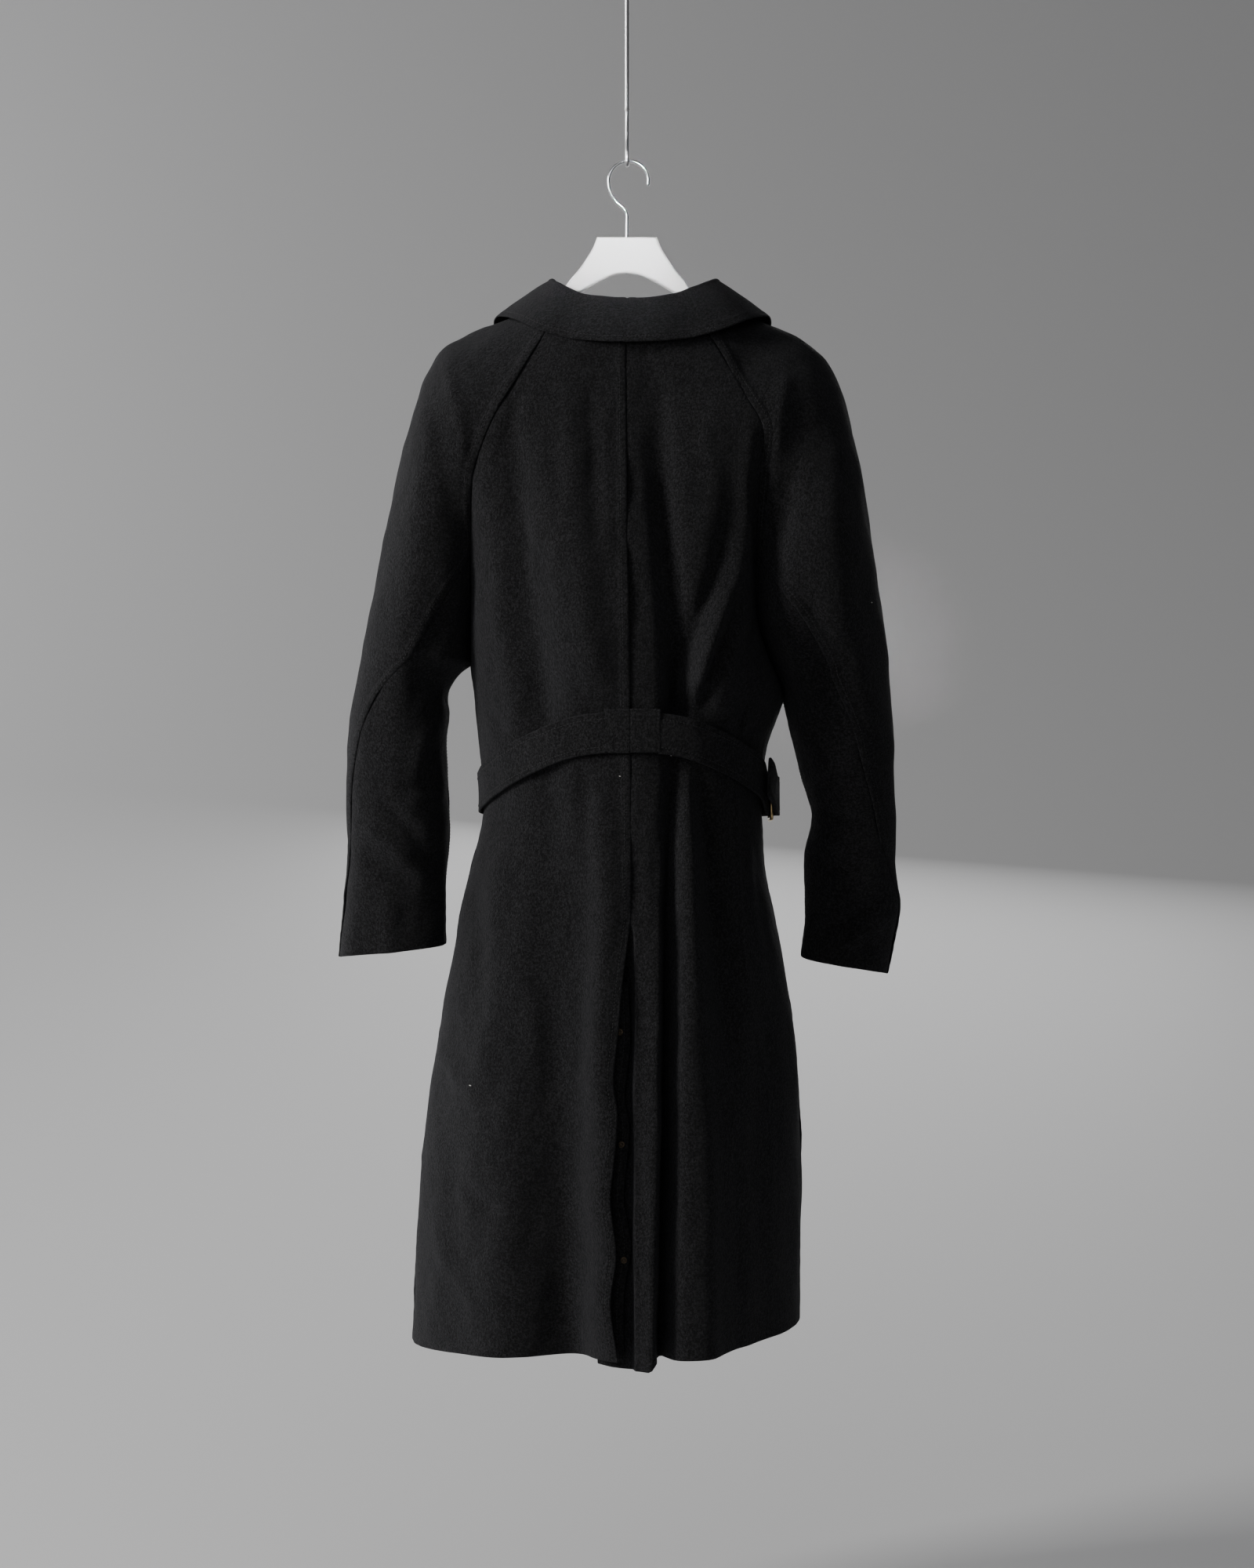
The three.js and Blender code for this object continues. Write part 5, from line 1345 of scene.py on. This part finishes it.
PRONG = [(0.40, 4.2), (0.5, 5.8), (0.66, 6.3), (0.84, 5.6), (1.0, 4.9), (1.09, 4.4)]
prong_path = smooth_path([rear + along * frame_length * a + outward * w for a, w in PRONG], 40)
prong = new_object("buckle_prong", *tube_parts(prong_path, 1.3, 16), BRASS)

# Snaps: a socket ring with a dished middle, in brass painted dark as painted shade of the vent's gap.
# Buttons: four holes, crossed by thread.
SNAP_SHIFT = 2.4
SNAP_PROFILE = [
    (0, 0), (3.3, 0), (3.6, 0.5), (3.4, 1.2), (2.9, 1.6), (2.4, 1.4), (2.0, 0.9), (1.6, 0.8),
    (1.3, 1.2), (1.0, 1.5), (0.6, 1.6), (0, 1.6),
]
for i in range(len(SNAPS["x"])):
    v = float(v_at_z("back", LEFT, 0, SNAPS["z"][i]))
    s = (at(FLY_EDGE, "z", SNAPS["z"][i])["x"] - SNAPS["x"][i] + SNAP_SHIFT) / FLY_WIDTH
    spot = fly_point(s, v)
    along_s = fly_point(s + 0.01, v) - fly_point(s - 0.01, v)
    face = unit(np.cross(along_s, fly_point(s, v + 0.004) - fly_point(s, v - 0.004)))
    snap = new_object(f"snap_{i + 1}", *turned_parts(SNAP_PROFILE, spot + face * 0.1, face, 36), SHADED_SNAP_BRASS)
    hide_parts(f"vent_snap_{i + 1}")

BUTTON_PROFILE = [
    (0, 0), (9.5, 0), (11.2, 0.5), (12, 1.6), (11.9, 2.8), (11.3, 3.7), (10.3, 4.0), (9.2, 3.8),
    (8.3, 3.0), (7.2, 2.5), (4, 2.3), (0, 2.3),
]
HOLE_OFFSET = 2.3


def hole_place(spot, ways, depth, sx, sz):
    face, across, up = ways
    return spot + face * depth + across * HOLE_OFFSET * sx + up * HOLE_OFFSET * sz


for i, z in enumerate((-452, -570, -690, -810, -1000)):
    surface = front_surface(LEFT)
    v = float(v_at_z("front", LEFT, 0, z))
    spot = surface(0.0, v)
    along_t = surface(0.012, v) - surface(0.002, v)
    face = unit(np.cross(along_t, surface(0.005, v + 0.004) - surface(0.005, v - 0.004)))
    face = face if face[1] > 0 else -face
    side_way = unit(np.cross(face, (0, 0, 1)))
    ways = (face, side_way, np.cross(side_way, face))
    disc = turned_parts(BUTTON_PROFILE, spot + face * 1.0, face, 56)
    button = new_object(f"horn_button_{i + 1}", *disc, HORN)
    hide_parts(f"button_{i + 1}")
    threads = []
    for sx, sz in ((1, 1), (1, -1)):
        a, b = hole_place(spot, ways, 3.1, sx, sz), hole_place(spot, ways, 3.1, -sx, -sz)
        for lift in (-0.35, 0.35):
            across = unit(np.cross(b - a, face)) * lift
            curve = [a + across, (a + b) / 2 + across + face * 0.7, b + across]
            threads.append(tube_parts(smooth_path(curve, 9), 0.34, 8))
    holes = [
        tube_parts([hole_place(spot, ways, depth, sx, sz) for depth in (2.9, 3.42)], 0.85, 14, rounded=False)
        for sx in (1, -1) for sz in (1, -1)
    ]
    new_object(f"button_thread_{i + 1}", *joined(threads + holes), THREAD)

# Hanger: a flat shaped board with rounded edges.
HANGER_TOP = -274.5
HANGER_THICKNESS = 10
HANGER_UNDER_CLOTH = 4.9
ARM_V = (0.02, 0.05, 0.1, 0.15, 0.19, 0.215)
NECK = [
    (32, HANGER_TOP), (36.5, -286), (44, -298.5), (52.5, -310.5), (62, -321.5), (70, -334), (75.5, -351),
]
ARCH = [(66, -345), (46, -331.5), (31, -323), (15, -315.5), (0, -313)]


def arm_points(side):
    rows = [at(OUTER[side], "v", v) for v in ARM_V]
    points = [(float(r["x"]), float(r["z"]) - HANGER_UNDER_CLOTH) for r in rows]
    points[-1] = (points[-1][0], points[-1][1] - 3)
    return points


def rounded_line(points, steps):
    p = np.array([(x, 0, z) for x, z in points], float)
    return smooth_path(p, steps)[:, [0, 2]]


def hanger_outline():
    halves = {}
    for side in (LEFT, RIGHT):
        top = rounded_line([(side * x, z) for x, z in NECK] + arm_points(side), 90)
        arm = arm_points(side)
        under = [(x + side * 2, z - 15.6) if i == len(arm) - 1 else (x - side * 6, z - 26)
                 for i, (x, z) in enumerate(arm)]
        under = under[:0:-1]
        low = rounded_line(under + [(side * x, z) for x, z in ARCH], 90)
        halves[side] = (top, low)
    left_top, left_low = halves[LEFT]
    right_top, right_low = halves[RIGHT]
    return np.concatenate([left_top[::-1], right_top, right_low, left_low[-2::-1]])


def board_object(name, outline, thickness, bevel, material):
    """A flat board from its outline, with a rounded edge."""
    curve = bpy.data.curves.new(name + "_outline", "CURVE")
    curve.dimensions = "2D"
    curve.fill_mode = "BOTH"
    curve.extrude = (thickness / 2 - bevel) * MM
    curve.bevel_depth = bevel * MM
    curve.bevel_resolution = 3
    curve.offset = -bevel * MM
    spline = curve.splines.new("POLY")
    spline.points.add(len(outline) - 1)
    for place, (x, z) in zip(spline.points, outline):
        place.co = (x * MM, z * MM, 0, 1)
    spline.use_cyclic_u = True
    shape = bpy.data.objects.new(name + "_outline", curve)
    bpy.context.scene.collection.objects.link(shape)
    mesh = bpy.data.meshes.new_from_object(shape.evaluated_get(bpy.context.evaluated_depsgraph_get()))
    bpy.data.objects.remove(shape)
    co = np.zeros(len(mesh.vertices) * 3)
    mesh.vertices.foreach_get("co", co)
    co = co.reshape(-1, 3)
    mesh.vertices.foreach_set("co", np.stack([co[:, 0], -co[:, 2], co[:, 1]], -1).ravel())
    mesh.update()
    mesh.materials.clear()
    mesh.materials.append(material)
    thing = bpy.data.objects.new(name, mesh)
    bpy.context.scene.collection.objects.link(thing)
    return thing


board = board_object("hanger_board", hanger_outline(), HANGER_THICKNESS, 2.6, BOARD)
for polygon in board.data.polygons:
    polygon.use_smooth = True
board.data.set_sharp_from_angle(angle=math.radians(40))
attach(board, "root")
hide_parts("hanger")

# Hook and rod.
HOOK_CENTRE = (1.7, -213.9)
HOOK_RADIUS = 21.4
HOOK_WIRE = 3.5
ROD_END_DIAMETER = 4.5
ROD_BREAK_Z = -140


def arc(centre, radius, low, high, count):
    angles = np.radians(np.linspace(low, high, count))
    return [(centre[0] + radius * math.cos(a), centre[1] + radius * math.sin(a)) for a in angles]


hook_line = [(0, HANGER_TOP - 4), (0, -262), (0, -250), (-4, -243), (-12, -235.5), (-18, -225)]
hook_line += arc(HOOK_CENTRE, HOOK_RADIUS, 178, -10, 13)
path = smooth_path([(x, 0, z) for x, z in hook_line], 150)
hook = new_object("hook_wire", *tube_parts(path, HOOK_WIRE / 2, 24), STEEL)
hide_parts("hanger_hook")
bend_radius = HOOK_WIRE / 2 + ROD_END_DIAMETER / 2 + 0.05
bend_z = HOOK_CENTRE[1] + HOOK_RADIUS
rod_line = [(0, ROD_BREAK_Z + 6), (0, -155), (-1, -170), (-bend_radius, -183)]
rod_line += arc((0, bend_z), bend_radius, 180, 360, 9) + [(bend_radius, bend_z + 6)]
path = smooth_path([(0, y, z) for y, z in rod_line], 110)
low_rod = new_object("rod_bend", *tube_parts(path, ROD_END_DIAMETER / 2, 24), ROD_STEEL)
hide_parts("rod_end")
ROD_PROFILE = [
    (0, 0), (2.2, 0), (2.5, 0.4), (2.5, 1.4), (3.1, 1.8), (3.3, 2.4), (3.1, 3.0), (2.5, 3.4),
    (2.5, 140), (0, 140),
]
rod_foot = np.array([0, 0, ROD_BREAK_Z])
top_rod = new_object("rod_bar", *turned_parts(ROD_PROFILE, rod_foot, (0, 0, 1), 40), ROD_STEEL)
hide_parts("rod")
for thing in (buckle, hook, low_rod, top_rod):
    thing.data.set_sharp_from_angle(angle=math.radians(50))

# Sewing: rows of thread a few millimetres from the seams and edges.
SEWN_LINES = [
    ("back_left", "first", 20, 0),
    ("front_left", "first", 8, 4),
    ("vent_fly", "first", 4, 4),
]
for side in ("left", "right"):
    SEWN_LINES.append((f"sleeve_{side}_upper", "first", 30, 2))
    SEWN_LINES.append((f"sleeve_{side}_upper", "last", 30, 2))
    SEWN_LINES.append((f"sleeve_{side}_under", "first", 4, 380))
sewn = {}
for name, edge, skip_start, skip_end in SEWN_LINES:
    points, normals = cloths[name].line(edge, STITCH_INSET, skip_start, skip_end)
    sewn.setdefault("stitches_" + name, []).append(stitch_parts(points, normals))


def collar_line(inset):
    points, normals = [], []
    for i in range(middle.shape[0]):
        d = far["last"][i][::-1]
        points.append([np.interp(inset, d, collar_outer[i, ::-1, k]) for k in range(3)])
        normals.append([np.interp(inset, d, normal[i, ::-1, k]) for k in range(3)])
    return np.array(points), unit(np.array(normals))


points, normals = collar_line(STITCH_INSET)
sewn["stitches_collar"] = [stitch_parts(points[3:-3], normals[3:-3])]


def strap_line(rings, share_column):
    points = rings[:, share_column]
    away = unit(np.gradient(points, axis=0))
    normals = unit(np.cross(away, (0, 0, 1.0)))
    centre = rings.mean(axis=1)
    flip = np.sign(((points - centre) * normals).sum(axis=1))
    return points, normals * np.where(flip == 0, 1, flip)[:, None]


for name, rings in (("belt_long", long_rings), ("belt_short", short_rings)):
    for column in (3, 21):
        sewn.setdefault("stitches_" + name, []).append(stitch_parts(*strap_line(rings, column)))
for name, parts in sewn.items():
    new_object(name, *joined(parts), THREAD)

# Lint: three pale specks and a loose thread that the photograph shows on the cloth.
SPECKS = [(-162.6, -1173.5, 1.6), (257, -668, 1.1), (-6.7, -850.8, 1.1), (44.4, -829, 0.9)]
marks = []
for x, z, size in SPECKS:
    nearest = None
    for cloth in cloths.values():
        gap = np.hypot(cloth.outer[..., 0] - x, cloth.outer[..., 2] - z) + (cloth.normal[..., 1] > 0) * 1e3
        i, j = np.unravel_index(gap.argmin(), gap.shape)
        if nearest is None or gap[i, j] < nearest[0]:
            nearest = (gap[i, j], cloth.outer[i, j], cloth.normal[i, j])
    _, spot, face = nearest
    way = unit(np.cross(face, (0.3, 0.1, 0.9)))
    reach = way * size * 0.6
    curve = smooth_path([spot - reach + face * 0.2, spot + face * 0.7, spot + reach + face * 0.3], 7)
    marks.append(tube_parts(curve, size * 0.3, 8))
new_object("lint_specks", *joined(marks), LINT)

# Each cut piece's flat size in metres, width and length, and its area in square metres.
CUTS = {
    "back_left": (0.31, 1.10, 0.26),
    "back_right": (0.33, 1.10, 0.29),
    "vent_fly": (0.045, 0.40, 0.018),
    "front_left": (0.30, 1.06, 0.26),
    "front_right": (0.30, 1.06, 0.26),
    "sleeve_left_upper": (0.30, 0.80, 0.18),
    "sleeve_left_under": (0.16, 0.46, 0.045),
    "sleeve_right_upper": (0.30, 0.80, 0.18),
    "sleeve_right_under": (0.16, 0.46, 0.045),
    "collar": (0.52, 0.13, 0.067),
    "belt_long": (0.78, 0.042, 0.0327),
    "belt_short": (0.18, 0.042, 0.0075),
    "belt_tab": (0.059, 0.045, 0.0026),
}
for name, (width, length, area) in CUTS.items():
    thing = bpy.data.objects["cloth_" + name]

# Stage: a pale floor that turns up into a far wall, and soft studio light.
STAGE, _, _ = principled("stage", (0.5, 0.5, 0.505), 0.9)


FLOOR_Z = -1.78
FLOOR_REACH = 16
BEND_START = 1.2
BEND_RADIUS = 4.8


def stage_floor():
    bend = [(-FLOOR_REACH, FLOOR_Z), (BEND_START, FLOOR_Z)]
    for a in np.radians(np.linspace(4, 90, 24)):
        bend.append((BEND_START + BEND_RADIUS * math.sin(a), FLOOR_Z + BEND_RADIUS * (1 - math.cos(a))))
    bend.append((6.0, 6.5))
    x = np.linspace(-FLOOR_REACH, FLOOR_REACH, 3)
    points = [(a / MM, y / MM, z / MM) for y, z in bend for a in x]
    faces = []
    for i in range(len(bend) - 1):
        for j in range(len(x) - 1):
            k = i * len(x) + j
            faces.append((k, k + 1, k + 1 + len(x), k + len(x)))
    mesh = bpy.data.meshes.new("floor")
    mesh.from_pydata((np.array(points) * MM).tolist(), [], faces)
    mesh.polygons.foreach_set("use_smooth", [True] * len(mesh.polygons))
    mesh.materials.append(STAGE)
    floor = bpy.data.objects.new("floor", mesh)
    bpy.context.scene.collection.objects.link(floor)
    return floor


stage_floor()


def softbox(name, place, target, size, power, colour=(1, 1, 1)):
    data = bpy.data.lights.new(name, "AREA")
    data.shape = "RECTANGLE"
    data.size, data.size_y = size
    data.energy = power
    data.color = colour
    lamp = bpy.data.objects.new(name, data)
    bpy.context.scene.collection.objects.link(lamp)
    lamp.location = place
    lamp.rotation_euler = (Vector(target) - Vector(place)).to_track_quat("-Z", "Y").to_euler()
    return lamp


softbox("key", (-3.0, -1.45, 0.4), (0, 0, -0.9), (0.9, 1.6), 150, (1, 0.985, 0.96))
softbox("left_edge", (-2.6, 1.5, -0.4), (0, 0, -0.9), (0.8, 2.0), 14, (0.97, 0.98, 1))
softbox("camera_fill", (-0.9, -3.6, 0.3), (0, 0, -0.9), (1.6, 1.6), 12)
softbox("top", (-0.4, -0.9, 2.3), (0, 0, -0.6), (1.2, 1.2), 5)
softbox("front_fill", (0.5, 3.4, 0.2), (0, 0, -0.9), (2.2, 2.2), 46)
softbox("wall_left", (-4.4, 2.6, 1.4), (-0.9, 6, -0.6), (2.4, 2.4), 118)
softbox("wall_right", (4.4, 2.6, 1.4), (0.9, 6, -0.6), (2.4, 2.4), 3)
hanger_light = softbox("hanger_light", (-0.3, -2.6, -0.1), (0, 0, -0.255), (0.1, 0.1), 0.2)
hanger_light.data.spread = math.radians(6)

world = bpy.data.worlds.new("world")
bpy.context.scene.world = world
world.use_nodes = True
world.node_tree.nodes["Background"].inputs["Color"].default_value = (0.5, 0.505, 0.515, 1)
world.node_tree.nodes["Background"].inputs["Strength"].default_value = 0.24
